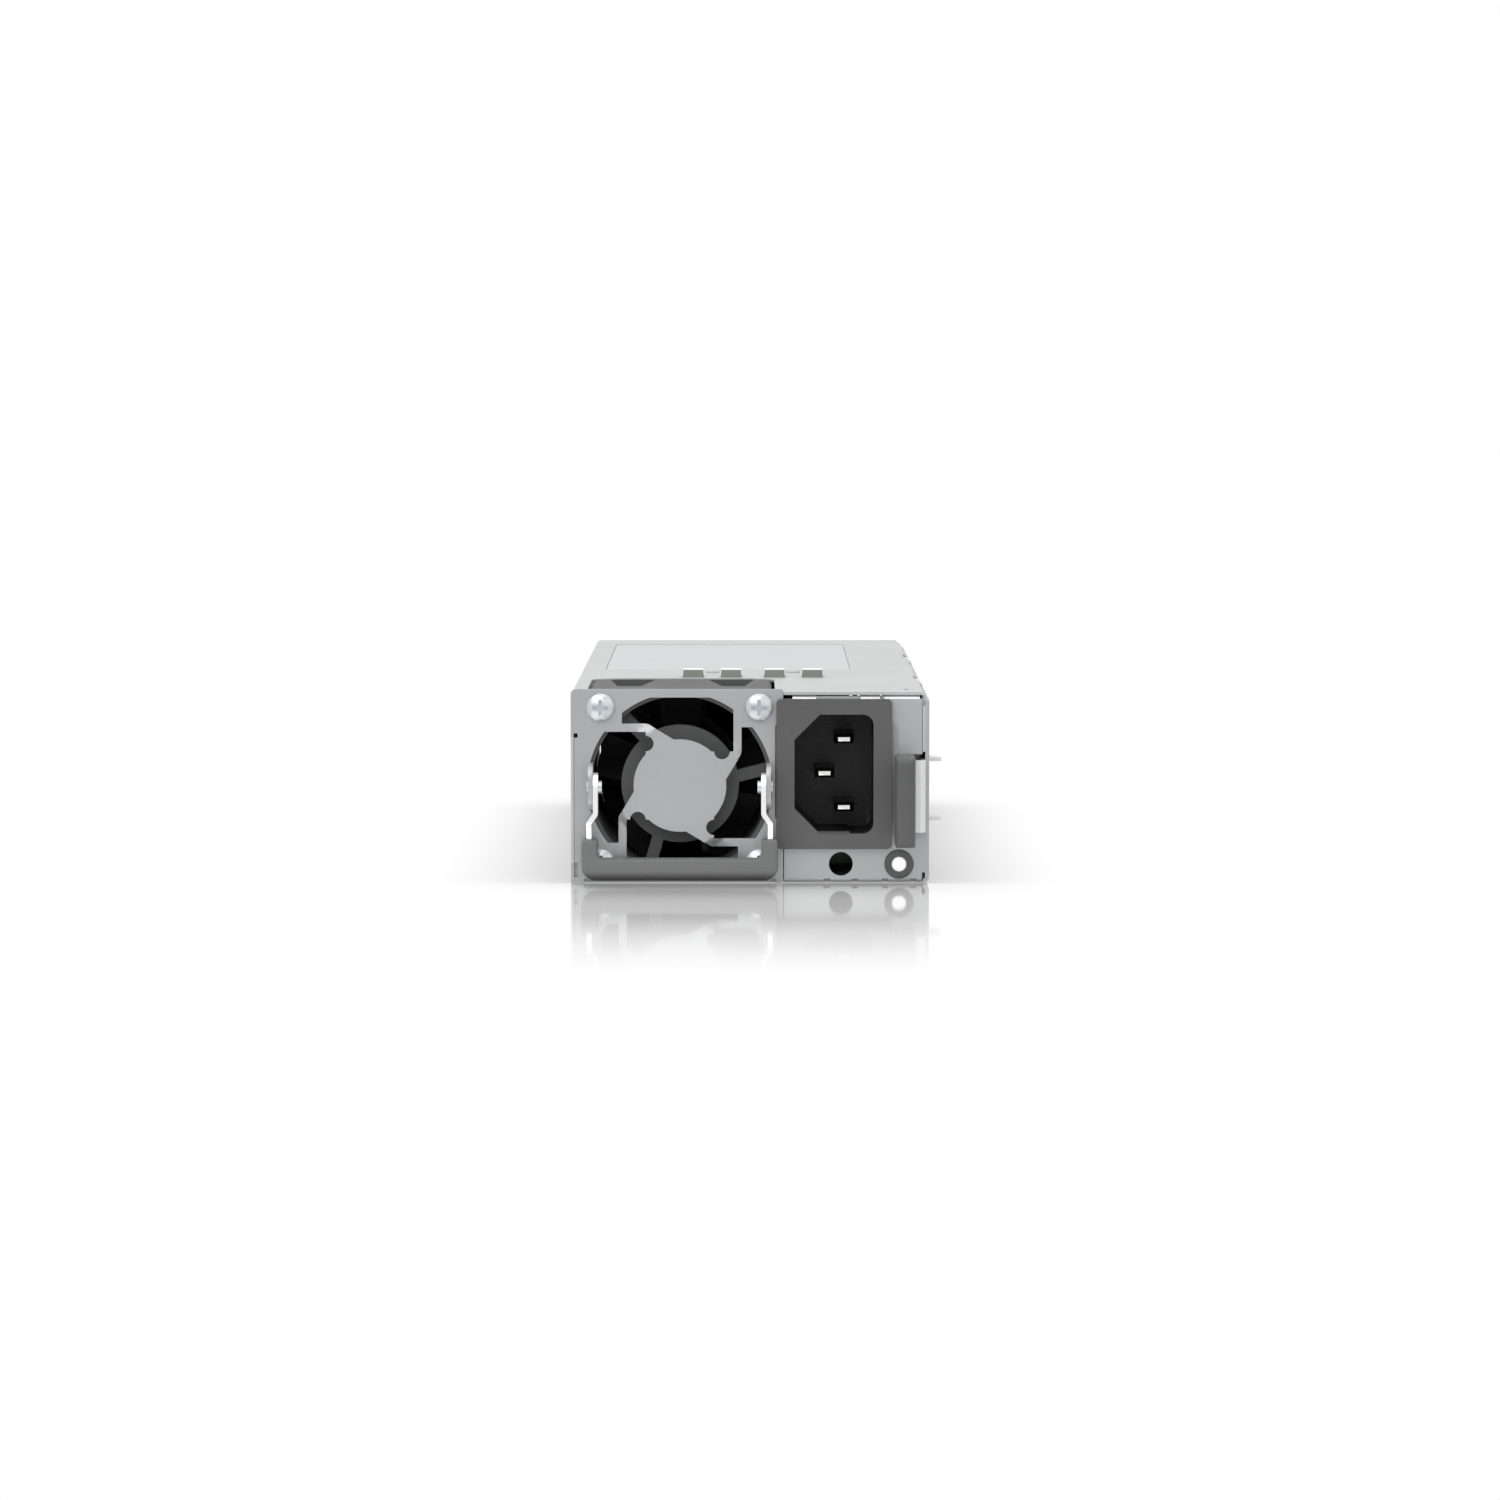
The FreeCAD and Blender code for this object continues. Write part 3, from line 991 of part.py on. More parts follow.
def pivot_rivet(side):
    """Shouldered rivet: fast in the arm, free to turn in the ear."""
    inside = arm_face(side) - side * ARM_SHEET
    outside = FAN_X + side * (EAR_INNER + PANEL_SHEET + RUN_GAP)
    low, high = min(inside, outside), max(inside, outside)
    shank = cylinder(RIVET_RADIUS, (low, PIVOT_Y, FAN_Z), X_AXIS, high - low)
    pieces = [shank]
    for face, way, height in ((inside, -side, RIVET_HEAD), (outside, side, RIVET_FLUSH_HEAD)):
        start = min(face, face + way * height)
        head = cylinder(RIVET_HEAD_RADIUS, (start, PIVOT_Y, FAN_Z), X_AXIS, height)
        pieces.append(head)
    return joined(pieces)


def handle_rivets():
    return Part.makeCompound([pivot_rivet(-1), pivot_rivet(1)])


def handle_grip():
    back = PIVOT_Y + GRIP_DEPTH / 2
    front = back - GRIP_DEPTH
    left, right = FAN_X - GRIP_HALF_WIDTH, FAN_X + GRIP_HALF_WIDTH
    bar_top = GRIP_BOTTOM + GRIP_BAR
    points = [(left, GRIP_BOTTOM), (right, GRIP_BOTTOM), (right, GRIP_POST_TOP),
              (right - GRIP_POST, GRIP_POST_TOP), (right - GRIP_POST, bar_top), (left + GRIP_POST, bar_top),
              (left + GRIP_POST, GRIP_POST_TOP), (left, GRIP_POST_TOP)]
    radii = [GRIP_OUTER_CORNER, GRIP_OUTER_CORNER, 0.5, 0.5, GRIP_INNER_CORNER, GRIP_INNER_CORNER, 0.5, 0.5]
    outline = prism(points, radii, "XZ", front, back)
    section = rounded_block((front, back), (GRIP_BOTTOM, GRIP_POST_TOP), [GRIP_FRONT_ROUND, 0.8, 0.5, 0.5],
                            "YZ", left - 1, right + 1)
    return outline.common(section)


# ---------------------------------------------------------------- latch
def barb_heights():
    middle = (LATCH_BOTTOM + LATCH_TOP) / 2
    return (middle - BARB_SPACING / 2, middle + BARB_SPACING / 2)


def latch_rivet_heights():
    middle = (LATCH_BOTTOM + LATCH_TOP) / 2
    return (middle - 4, middle + 4)


def latch_rivet_y():
    return LATCH_PIVOT_Y + LATCH_ROOT_LENGTH / 2


def latch_leaf():
    """Spring leaf along the right wall, with its barbs and the tongue that carries the grip."""
    nose = FRONT - LATCH_SETOUT
    tongue_end = nose - LATCH_TONGUE_LENGTH
    path = [(LATCH_TONGUE_X, tongue_end), (LATCH_TONGUE_X, nose), (WALL_INNER, nose),
            (WALL_INNER, LATCH_PIVOT_Y - LATCH_ROOT_GAP)]
    strip = bent_strip(path, LATCH_SHEET, BEND_RADIUS, "XY", LATCH_BOTTOM, LATCH_TOP)
    barb_front = FRONT + BARB_SETBACK
    root, tip = WALL_INNER - LATCH_SHEET / 2, RIGHT + BARB_REACH
    pieces = [strip]
    for height in barb_heights():
        points = [(root, barb_front), (tip, barb_front), (tip, barb_front + BARB_TIP_LENGTH),
                  (WALL_INNER, barb_front + BARB_ROOT_LENGTH), (root, barb_front + BARB_ROOT_LENGTH)]
        pieces.append(prism(points, [0, 0.5, 0.8, 0, 0], "XY", *span(height, BARB_THICKNESS)))
    return joined(pieces)


def latch_root():
    """The riveted end of the leaf."""
    plate = rounded_block((LATCH_PIVOT_Y, LATCH_PIVOT_Y + LATCH_ROOT_LENGTH), (LATCH_BOTTOM, LATCH_TOP),
                          [0, 1.5, 1.5, 0], "YZ", WALL_INNER - LATCH_SHEET, WALL_INNER)
    holes = [cylinder(RIVET_RADIUS, (WALL_INNER - 3, latch_rivet_y(), z), X_AXIS, 5)
             for z in latch_rivet_heights()]
    return plate.cut(holes)


def latch_rivets():
    rivets = []
    for z in latch_rivet_heights():
        inner = WALL_INNER - LATCH_SHEET
        shank = cylinder(RIVET_RADIUS, (inner, latch_rivet_y(), z), X_AXIS, RIGHT - inner)
        head = cylinder(RIVET_HEAD_RADIUS + 0.5, (inner - RIVET_HEAD, latch_rivet_y(), z), X_AXIS, RIVET_HEAD)
        rivets.append(joined([shank, head]))
    return Part.makeCompound(rivets)


def latch_grip(leaf):
    back = FRONT - LATCH_GRIP_BACK
    front = back - LATCH_GRIP_LENGTH
    left, right = LATCH_GRIP_LEFT, LATCH_GRIP_LEFT + LATCH_GRIP_WIDTH
    plan = rounded_block((left, right), (front, back), [LATCH_GRIP_ROUND, LATCH_GRIP_ROUND, 0.4, 0.4], "XY",
                         LATCH_GRIP_BOTTOM, LATCH_GRIP_BOTTOM + LATCH_GRIP_HEIGHT)
    side = rounded_block((front, back), (LATCH_GRIP_BOTTOM, LATCH_GRIP_BOTTOM + LATCH_GRIP_HEIGHT),
                         [LATCH_GRIP_ROUND, 0.4, 0.4, LATCH_GRIP_ROUND], "YZ", left - 1, right + 1)
    return plan.common(side).cut(leaf)


# ---------------------------------------------------------------- status light
def status_led_bezel():
    profile = [(LED_LENS_RADIUS, -LED_BEZEL_PROUD), (LED_BEZEL_RADIUS - LED_BEZEL_CHAMFER, -LED_BEZEL_PROUD),
               (LED_BEZEL_RADIUS, LED_BEZEL_CHAMFER - LED_BEZEL_PROUD), (LED_BEZEL_RADIUS, 0),
               (LED_HOLE_RADIUS - FIT_GAP, 0), (LED_HOLE_RADIUS - FIT_GAP, 2.5), (LED_LENS_RADIUS, 2.5)]
    return revolved(profile, [0] * len(profile), (LED_X, FRONT, LED_Z))


def status_light_pipe():
    tip = -LED_BEZEL_PROUD - FIT_GAP
    profile = [(0, tip), (LED_LENS_RADIUS - 3 * FIT_GAP, tip), (LED_LENS_RADIUS, tip + 3 * FIT_GAP),
               (LED_LENS_RADIUS, LIGHT_PIPE_LENGTH), (0, LIGHT_PIPE_LENGTH)]
    return revolved(profile, [0] * len(profile), (LED_X, FRONT, LED_Z))


def status_board():
    back = FRONT + LIGHT_PIPE_LENGTH
    board = box((LED_X - 4.0, LED_X + 3.6), (back, back + STATUS_BOARD), (FLOOR, FLOOR + 8.4))
    plug = box(span(LED_X - 0.2, 5.0), (back + STATUS_BOARD, back + STATUS_BOARD + 4.0),
               (FLOOR + 1, FLOOR + 6))
    return joined([board, plug])


# ---------------------------------------------------------------- grounding clips and label
def finger_centres(clip):
    return (clip - FINGER_SPACING / 2, clip + FINGER_SPACING / 2)


def grounding_clip(centre):
    """Spring clip under the cover: two fingers rise through it and stand above the top."""
    under = COVER_UNDER
    tail = box(span(centre, FINGER_SPACING + FINGER_WIDTH), (FRONT + FINGER_ROOT + 1.5, FRONT + CLIP_TAIL),
               (under - CLIP_SHEET, under))
    pieces = [tail]
    crest = CASE_HEIGHT + FINGER_HEIGHT
    for x in finger_centres(centre):
        pieces.append(finger(x, under, crest))
    hole = cylinder(RIVET_RADIUS, (centre, FRONT + CLIP_RIVET_SETBACK, under - 1), Z_AXIS, 2)
    return joined(pieces).cut(hole)


def finger(x, under, crest):
    """One finger: steep in front, with a round crest and a long slope back to the clip's tail."""
    path = [(FRONT + FINGER_ROOT + 2.0, under - CLIP_SHEET), (FRONT + FINGER_ROOT, under - CLIP_SHEET),
            (FRONT + FINGER_CREST, crest - CLIP_SHEET), (FRONT + FINGER_FOOT, under)]
    return bent_strip(path[::-1], CLIP_SHEET, 0.5, "YZ", *span(x, FINGER_WIDTH))


def clip_rivets():
    rivets = []
    for centre in CLIP_CENTRES:
        top, under = CASE_HEIGHT, COVER_UNDER - CLIP_SHEET
        y = FRONT + CLIP_RIVET_SETBACK
        head = cylinder(CLIP_RIVET_RADIUS, (centre, y, top), Z_AXIS, CLIP_RIVET_HEAD)
        shank = cylinder(RIVET_RADIUS, (centre, y, under), Z_AXIS, top - under)
        rivets.append(joined([head, shank]))
    return Part.makeCompound(rivets)


def blank_label():
    bottom = CASE_HEIGHT - LABEL_RECESS
    return label_block(-LABEL_MARGIN, LABEL_CORNER, bottom, bottom + LABEL_THICKNESS)


# ---------------------------------------------------------------- boards
def standoff_places():
    x = BOARD_HALF - STANDOFF_INSET
    places = [(side * x, FRONT + setback) for side, setback in STANDOFF_FRONT]
    return places + [(-x, REAR - STANDOFF_REAR), (x, REAR - STANDOFF_REAR)]


def main_board():
    """The circuit board: stepped round the fan, with a tongue that leaves through the rear wall."""
    half = BOARD_HALF
    front, step = FRONT + BOARD_FRONT, FRONT + BOARD_STEP_FRONT
    rear, tip = REAR - TRAY_SHEET - 1, REAR + EDGE_TONGUE
    points = [(-half, front), (BOARD_STEP_LEFT, front), (BOARD_STEP_LEFT, step), (BOARD_STEP_RIGHT, step),
              (BOARD_STEP_RIGHT, FRONT + LATCH_PIVOT_SETBACK), (half, FRONT + LATCH_PIVOT_SETBACK),
              (half, rear), (half - EDGE_SLOT_MARGIN, rear), (half - EDGE_SLOT_MARGIN, tip),
              (EDGE_SLOT_MARGIN - half, tip), (EDGE_SLOT_MARGIN - half, rear), (-half, rear)]
    board = prism(points, 0, "XY", BOARD_BOTTOM, BOARD_TOP)
    holes = [cylinder(BOARD_SCREW_RADIUS, (x, y, BOARD_BOTTOM - 1), Z_AXIS, 4) for x, y in standoff_places()]
    return board.cut(holes)


def board_standoffs():
    posts = []
    for x, y in standoff_places():
        post = prism(hexagon(x, y, STANDOFF_RADIUS), 0, "XY", FLOOR, BOARD_BOTTOM)
        posts.append(post.cut(cylinder(BOARD_SCREW_RADIUS, (x, y, FLOOR + 1), Z_AXIS, STANDOFF_HEIGHT)))
    return Part.makeCompound(posts)


def board_screws():
    screws = []
    for x, y in standoff_places():
        head = cylinder(BOARD_SCREW_HEAD, (x, y, BOARD_TOP), Z_AXIS, BOARD_SCREW_HEAD_HEIGHT)
        shank = cylinder(BOARD_SCREW_RADIUS, (x, y, BOARD_BOTTOM - BOARD_SCREW_BITE), Z_AXIS,
                         BOARD_SCREW_BITE + BOARD_THICKNESS)
        screws.append(joined([head, shank]))
    return Part.makeCompound(screws)


def insulation_sheet():
    """Film on the floor under the board, cut out round the standoffs."""
    half = BOARD_HALF
    points = [(-half, FRONT + BOARD_FRONT), (BOARD_STEP_LEFT, FRONT + BOARD_FRONT),
              (BOARD_STEP_LEFT, FRONT + BOARD_STEP_FRONT), (half, FRONT + BOARD_STEP_FRONT),
              (half, REAR - 6), (-half, REAR - 6)]
    film = prism(points, 0, "XY", FLOOR, FLOOR + SHEET_INSULATION)
    holes = [box(span(x, 2 * STANDOFF_RADIUS + 1), span(y, 2 * STANDOFF_RADIUS + 1), (FLOOR - 1, FLOOR + 1))
             for x, y in standoff_places()]
    return film.cut(holes)


def output_contacts():
    """Rows of contacts on both faces of the edge tongue."""
    end = REAR + EDGE_TONGUE - 0.8
    pads = []
    for index in range(CONTACT_COUNT):
        x = (index - (CONTACT_COUNT - 1) / 2) * CONTACT_PITCH
        for low in (BOARD_TOP, BOARD_BOTTOM - CONTACT_THICKNESS):
            pads.append(box(span(x, CONTACT_WIDTH), (end - CONTACT_LENGTH, end),
                            (low, low + CONTACT_THICKNESS)))
    return Part.makeCompound(pads)


def filter_board():
    """Upright board behind the inlet that takes the tails of its pins."""
    front = INLET_CAVITY_FLOOR + INLET_BACK
    left, right = inlet_body_span()[:2]
    board = box((left - FILTER_BOARD_BEYOND[0], right + FILTER_BOARD_BEYOND[1]),
                (front, front + BOARD_THICKNESS),
                (FLOOR + SHEET_INSULATION + 1, COVER_UNDER - FILTER_BOARD_DROP))
    holes = [box(span(x, PIN_WIDTH / 2 + FIT_GAP), (front - 1, front + BOARD_THICKNESS + 1),
                 span(z, PIN_THICKNESS / 2 + FIT_GAP)) for x, z in pin_places()]
    return board.cut(holes)


# ---------------------------------------------------------------- components
def can(radius, height, x, y, groove):
    """An electrolytic capacitor with a chamfered top, and a rolled groove near its foot where it has one."""
    low, high = BOARD_TOP, BOARD_TOP + height
    neck = [(radius, low + 2.4), (radius - groove, low + 3.2), (radius, low + 4.0)] if groove else []
    profile = [(0, low), (radius, low)] + neck + [(radius, high - CAN_CHAMFER), (radius - CAN_CHAMFER, high),
                                                  (0, high)]
    return turned_z(profile, [0] * len(profile), x, y)


def bulk_capacitors():
    height = HEADROOM - CAPACITOR_CLEAR
    return Part.makeCompound([can(CAPACITOR_RADIUS, height, x, FRONT + setback, CAPACITOR_GROOVE)
                              for x, setback in CAPACITOR_PLACES])


def output_capacitors():
    """A row of cans halfway between the transformer and the rear wall."""
    transformer_end = FRONT + TRANSFORMER_PLACE[1] + TRANSFORMER_PLAN[1] / 2
    y = (transformer_end + REAR - TRAY_SHEET) / 2
    cans = []
    for index in range(OUTPUT_CAPACITOR_COUNT):
        x = OUTPUT_CAPACITOR_MIDDLE + (index - (OUTPUT_CAPACITOR_COUNT - 1) / 2) * OUTPUT_CAPACITOR_PITCH
        cans.append(can(OUTPUT_CAPACITOR_RADIUS, OUTPUT_CAPACITOR_HEIGHT, x, y, 0))
    return Part.makeCompound(cans)


def ring_arc(section, start, sweep, centre):
    """Part of a square ring that stands upright, turned about a line along Y."""
    inner, outer = TOROID_RADIUS - section, TOROID_RADIUS + section
    face = Part.Face(corner_wire([(inner, -section), (outer, -section), (outer, section), (inner, section)],
                                 [0] * 4))
    solid = face.revolve(FreeCAD.Vector(0, 0, 0), Y_AXIS, sweep)
    solid.rotate(FreeCAD.Vector(0, 0, 0), Y_AXIS, start)
    solid.translate(FreeCAD.Vector(*centre))
    return solid


def toroid_centre():
    inset, setback = TOROID_PLACE
    return (BOARD_HALF - inset, FRONT + setback, BOARD_TOP + TOROID_RADIUS + TOROID_WINDING + 1.0)


def emi_choke_core():
    """The ring core with the foot that it is glued to."""
    ring = ring_arc(TOROID_SECTION, 0, 360, toroid_centre())
    x, y, z = toroid_centre()
    foot = box(span(x, 12), span(y, 2 * TOROID_SECTION), (BOARD_TOP, z - TOROID_RADIUS))
    return joined([ring, foot.cut(cylinder(TOROID_RADIUS - TOROID_SECTION, (x, y - 9, z), Y_AXIS, 18))])


def emi_choke_windings():
    """Two separate windings, one on each side of the ring."""
    core = emi_choke_core()
    coils = []
    for start in (-55, 125):
        coils.append(ring_arc(TOROID_WINDING, start, 110, toroid_centre()).cut(core))
    return Part.makeCompound(coils)


def wound_core(plan, height, place):
    """Ferrite core halves closed round a coil: thick top and bottom, and two thin sides."""
    x, y = place[0], FRONT + place[1]
    core = box(span(x, plan[0]), span(y, plan[1]), (BOARD_TOP, BOARD_TOP + height))
    window = box(span(x, plan[0] - 2 * CORE_SIDE), (y - plan[1], y + plan[1]),
                 (BOARD_TOP + CORE_CAP, BOARD_TOP + height - CORE_CAP))
    return core.cut(window)


def wound_coil(height, place, radius):
    """The coil on its bobbin, between two flanges, inside the core's window."""
    low, high = BOARD_TOP + CORE_CAP, BOARD_TOP + height - CORE_CAP
    rim = radius + 0.4
    profile = [(0, low), (rim, low), (rim, low + 1), (radius, low + 1), (radius, high - 1), (rim, high - 1),
               (rim, high), (0, high)]
    return turned_z(profile, [0] * 8, place[0], FRONT + place[1])


def film_capacitors():
    blocks = []
    x = BOARD_HALF - FILM_CAPACITOR_INSET
    wide, deep, high = FILM_CAPACITOR_SIZE
    for setback in FILM_CAPACITOR_SETBACKS:
        blocks.append(box(span(x, wide), span(FRONT + setback, deep), (BOARD_TOP, BOARD_TOP + high)))
    return Part.makeCompound(blocks)


def inrush_relay():
    wide, deep, high = RELAY_SIZE
    x, y = BOARD_HALF - RELAY_PLACE[0], FRONT + RELAY_PLACE[1]
    case = box(span(x, wide), span(y, deep), (BOARD_TOP, BOARD_TOP + high))
    rim = box(span(x, wide + 2 * RELAY_RIM), span(y, deep + 2 * RELAY_RIM),
              (BOARD_TOP, BOARD_TOP + 3 * RELAY_RIM))
    return joined([case, rim])


def fuse():
    """A cartridge fuse with a cap at each end, lying in its clips along the case."""
    x, y = BOARD_HALF - FUSE_PLACE[0], FRONT + FUSE_PLACE[1]
    z = BOARD_TOP + FUSE_RADIUS + 0.9
    tube = cylinder(FUSE_RADIUS - 0.3, (x, y - FUSE_LENGTH / 2 + 0.5, z), Y_AXIS, FUSE_LENGTH - 1)
    pieces = [tube]
    for side in (-1, 1):
        start = y + side * FUSE_LENGTH / 2 - (FUSE_CAP if side > 0 else 0)
        pieces.append(cylinder(FUSE_RADIUS, (x, start, z), Y_AXIS, FUSE_CAP))
        pieces.append(box(span(x, 2 * FUSE_RADIUS), span(start + FUSE_CAP / 2, 3.5), (BOARD_TOP, z)))
    return joined(pieces)


def heat_sink(place):
    """Extruded sink: an upright plate with fins along it."""
    x, setback, length = place
    start = FRONT + setback
    height = HEADROOM - SINK_CLEAR
    pieces = [box(span(x, SINK_PLATE), (start, start + length), (BOARD_TOP, BOARD_TOP + height))]
    pitch = (height - SINK_FIN) / (SINK_FINS - 1)
    for index in range(SINK_FINS):
        z = BOARD_TOP + index * pitch
        if z < BOARD_TOP + OUTPUT_CLEAR:
            continue
        pieces.append(box((x, x + SINK_PLATE / 2 + SINK_REACH), (start, start + length), (z, z + SINK_FIN)))
    return joined(pieces)


def power_packages():
    """Power semiconductors clamped flat on the plates of both sinks."""
    packages = []
    thick, wide, high = PACKAGE_SIZE
    for place, count in ((PRIMARY_SINK, 3), (SECONDARY_SINK, 1)):
        x, setback, length = place
        face = x - SINK_PLATE / 2
        for index in range(count):
            y = FRONT + setback + length * (index + 0.5) / count
            body = box((face - thick, face), span(y, wide),
                       (BOARD_TOP + PACKAGE_STANDOFF, BOARD_TOP + PACKAGE_STANDOFF + high))
            legs = [box((face - thick / 2 - 0.4, face - thick / 2 + 0.4), span(y + step, 0.8),
                        (BOARD_TOP, BOARD_TOP + PACKAGE_STANDOFF)) for step in (-3, 0, 3)]
            packages.append(joined([body] + legs))
    return Part.makeCompound(packages)


# ---------------------------------------------------------------- output
def export(name, shape):
    shape.exportStep("parts/" + name + ".step")


def main():
    os.makedirs("parts", exist_ok=True)
    leaf = latch_leaf()
    arms = {"left": handle_arm(-1), "right": handle_arm(1)}
    export("chassis_tray", chassis_tray())
    export("top_cover", top_cover())
    export("cover_screw", cover_screw())
    export("fan_guard_panel", fan_guard_panel())
    export("fan_screws", fan_screws())
    export("fan_housing", fan_housing())
    export("fan_stators", fan_stators())
    export("fan_front_rotor", rotor(True, FRONT_BLADES))
    export("fan_rear_rotor", rotor(False, REAR_BLADES))
    export("ac_inlet_housing", ac_inlet_housing())
    for name, place in zip(("live_pin", "neutral_pin", "earth_pin"), pin_places()):
        export(name, contact_pin(*place))
    export("status_led_bezel", status_led_bezel())
    export("status_light_pipe", status_light_pipe())
    export("status_board", status_board())
    export("handle_arm_left", arms["left"])
    export("handle_arm_right", arms["right"])
    export("handle_grip", handle_grip().cut([arms["left"], arms["right"]]))
    export("handle_rivets", handle_rivets())
    export("latch_leaf", leaf)
    export("latch_root", latch_root())
    export("latch_rivets", latch_rivets())
    export("latch_grip", latch_grip(leaf))
    export("grounding_clip_left", grounding_clip(CLIP_CENTRES[0]))
    export("grounding_clip_right", grounding_clip(CLIP_CENTRES[1]))
    export("clip_rivets", clip_rivets())
    export("blank_label", blank_label())
    export("main_board", main_board())
    export("board_standoffs", board_standoffs())
    export("board_screws", board_screws())
    export("insulation_sheet", insulation_sheet())
    export("output_contacts", output_contacts())
    export("filter_board", filter_board())
    export("bulk_capacitors", bulk_capacitors())
    export("output_capacitors", output_capacitors())
    export("emi_choke_core", emi_choke_core())
    export("emi_choke_windings", emi_choke_windings())
    choke_height, transformer_height = HEADROOM - CHOKE_CLEAR, HEADROOM - TRANSFORMER_CLEAR
    export("pfc_choke_core", wound_core(CHOKE_PLAN, choke_height, CHOKE_PLACE))
    export("pfc_choke_coil", wound_coil(choke_height, CHOKE_PLACE, CHOKE_COIL_RADIUS))
    export("transformer_core", wound_core(TRANSFORMER_PLAN, transformer_height, TRANSFORMER_PLACE))
    export("transformer_coil", wound_coil(transformer_height, TRANSFORMER_PLACE, TRANSFORMER_COIL_RADIUS))
    export("film_capacitors", film_capacitors())
    export("inrush_relay", inrush_relay())
    export("fuse", fuse())
    export("primary_heat_sink", heat_sink(PRIMARY_SINK))
    export("secondary_heat_sink", heat_sink(SECONDARY_SINK))
    export("power_packages", power_packages())


main()
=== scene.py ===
import bmesh
import bpy
import json
import math
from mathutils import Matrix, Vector


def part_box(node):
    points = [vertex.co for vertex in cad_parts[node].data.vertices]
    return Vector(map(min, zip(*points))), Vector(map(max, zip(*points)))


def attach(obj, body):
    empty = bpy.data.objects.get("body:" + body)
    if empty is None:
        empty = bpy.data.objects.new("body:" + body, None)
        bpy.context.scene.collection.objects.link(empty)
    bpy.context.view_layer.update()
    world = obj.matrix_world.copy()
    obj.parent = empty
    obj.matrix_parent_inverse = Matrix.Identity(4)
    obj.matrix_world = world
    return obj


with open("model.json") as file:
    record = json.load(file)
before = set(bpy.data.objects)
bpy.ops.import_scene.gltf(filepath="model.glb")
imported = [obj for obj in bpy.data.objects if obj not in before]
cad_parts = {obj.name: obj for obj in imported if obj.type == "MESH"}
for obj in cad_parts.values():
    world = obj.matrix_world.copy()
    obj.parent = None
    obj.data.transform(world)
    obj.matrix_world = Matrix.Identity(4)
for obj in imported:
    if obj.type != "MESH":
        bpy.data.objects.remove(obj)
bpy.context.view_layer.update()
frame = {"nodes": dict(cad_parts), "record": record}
NODES = frame["nodes"]

MM = 0.001

FRONT_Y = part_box("chassis_tray")[0][1]       # the case's front plane
WHITE = (1, 1, 1, 1)

# ---------------------------------------------------------------- camera
CAMERA_DISTANCE = 1.060          # from the front of the case
CAMERA_HEIGHT = 0.1108
CAMERA_PITCH = 4.505             # degrees below the horizon
CAMERA_LENS = 124.5
CAMERA_CLIP = (0.05, 50.0)
SENSOR = 36.0


def add_camera():
    data = bpy.data.cameras.new("camera")
    data.lens = CAMERA_LENS
    data.sensor_width = SENSOR
    data.clip_start, data.clip_end = CAMERA_CLIP
    camera = bpy.data.objects.new("camera", data)
    camera.location = (0.0, FRONT_Y - CAMERA_DISTANCE, CAMERA_HEIGHT)
    camera.rotation_euler = (math.radians(90.0 - CAMERA_PITCH), 0.0, 0.0)
    bpy.context.scene.collection.objects.link(camera)
    bpy.context.scene.camera = camera


# ---------------------------------------------------------------- light and floor
WORLD_STRENGTH = 0.42
WORLD_TINT = (0.975, 0.99, 1.0, 1)
LAMPS = (                        # name, place, target, size, power in watts
    ("key", (-0.55, FRONT_Y - 0.95, 1.15), (0, 0.0, 0.02), (1.7, 1.3), 11.0),
    ("fill", (1.1, FRONT_Y - 1.0, 0.8), (0, 0.0, 0.02), (1.2, 1.0), 1.8),
    ("top", (0.05, 0.1, 1.3), (0, 0.02, 0.0), (1.6, 1.2), 5.0),
)
FLOOR_SIZE = 12.0
FLOOR_DROP = 0.0002              # the floor lies this far under the part
FLOOR_BOUNCE = 0.25              # grey of the floor as it lights the part
FLOOR_CONTACT = 0.030            # reach of the soft shadow round the case
SHADOW_OPENNESS = (0.45, 0.98)   # ambient occlusion at the darkest and at the clear floor
SHADOW_TONE = (0.50, 1.0)        # the floor's tone at those two
MIRROR_ROUGHNESS = 0.06
MIRROR_BEHIND = 0.25             # share of the mirror image behind the front plane
MIRROR_START = 0.004             # where the image in front begins, as a share of its reach
MIRROR_STEPS = ((0.0, 0.64), (0.060, 0.54), (0.093, 0.28), (0.125, 0.10), (0.152, 0.0))
MIRROR_REACH = MIRROR_STEPS[-1][0]


def grey(tone):
    return (tone, tone, tone, 1)


def math_node(tree, operation, first, second=None):
    node = tree.nodes.new("ShaderNodeMath")
    node.operation = operation
    for socket, value in zip(node.inputs, (first, second)):
        if value is None:
            continue
        if isinstance(value, (int, float)):
            socket.default_value = value
        else:
            tree.links.new(value, socket)
    return node.outputs[0]


def seen_rays(tree):
    """1 for camera, glossy and transmission rays, which see the white background."""
    rays = tree.nodes.new("ShaderNodeLightPath")
    seen = math_node(tree, "MAXIMUM", rays.outputs["Is Camera Ray"], rays.outputs["Is Glossy Ray"])
    return math_node(tree, "MAXIMUM", seen, rays.outputs["Is Transmission Ray"])


def mixed(tree, factor, first, second):
    node = tree.nodes.new("ShaderNodeMixShader")
    if isinstance(factor, (int, float)):
        node.inputs[0].default_value = factor
    else:
        tree.links.new(factor, node.inputs[0])
    tree.links.new(first, node.inputs[1])
    tree.links.new(second, node.inputs[2])
    return node.outputs[0]


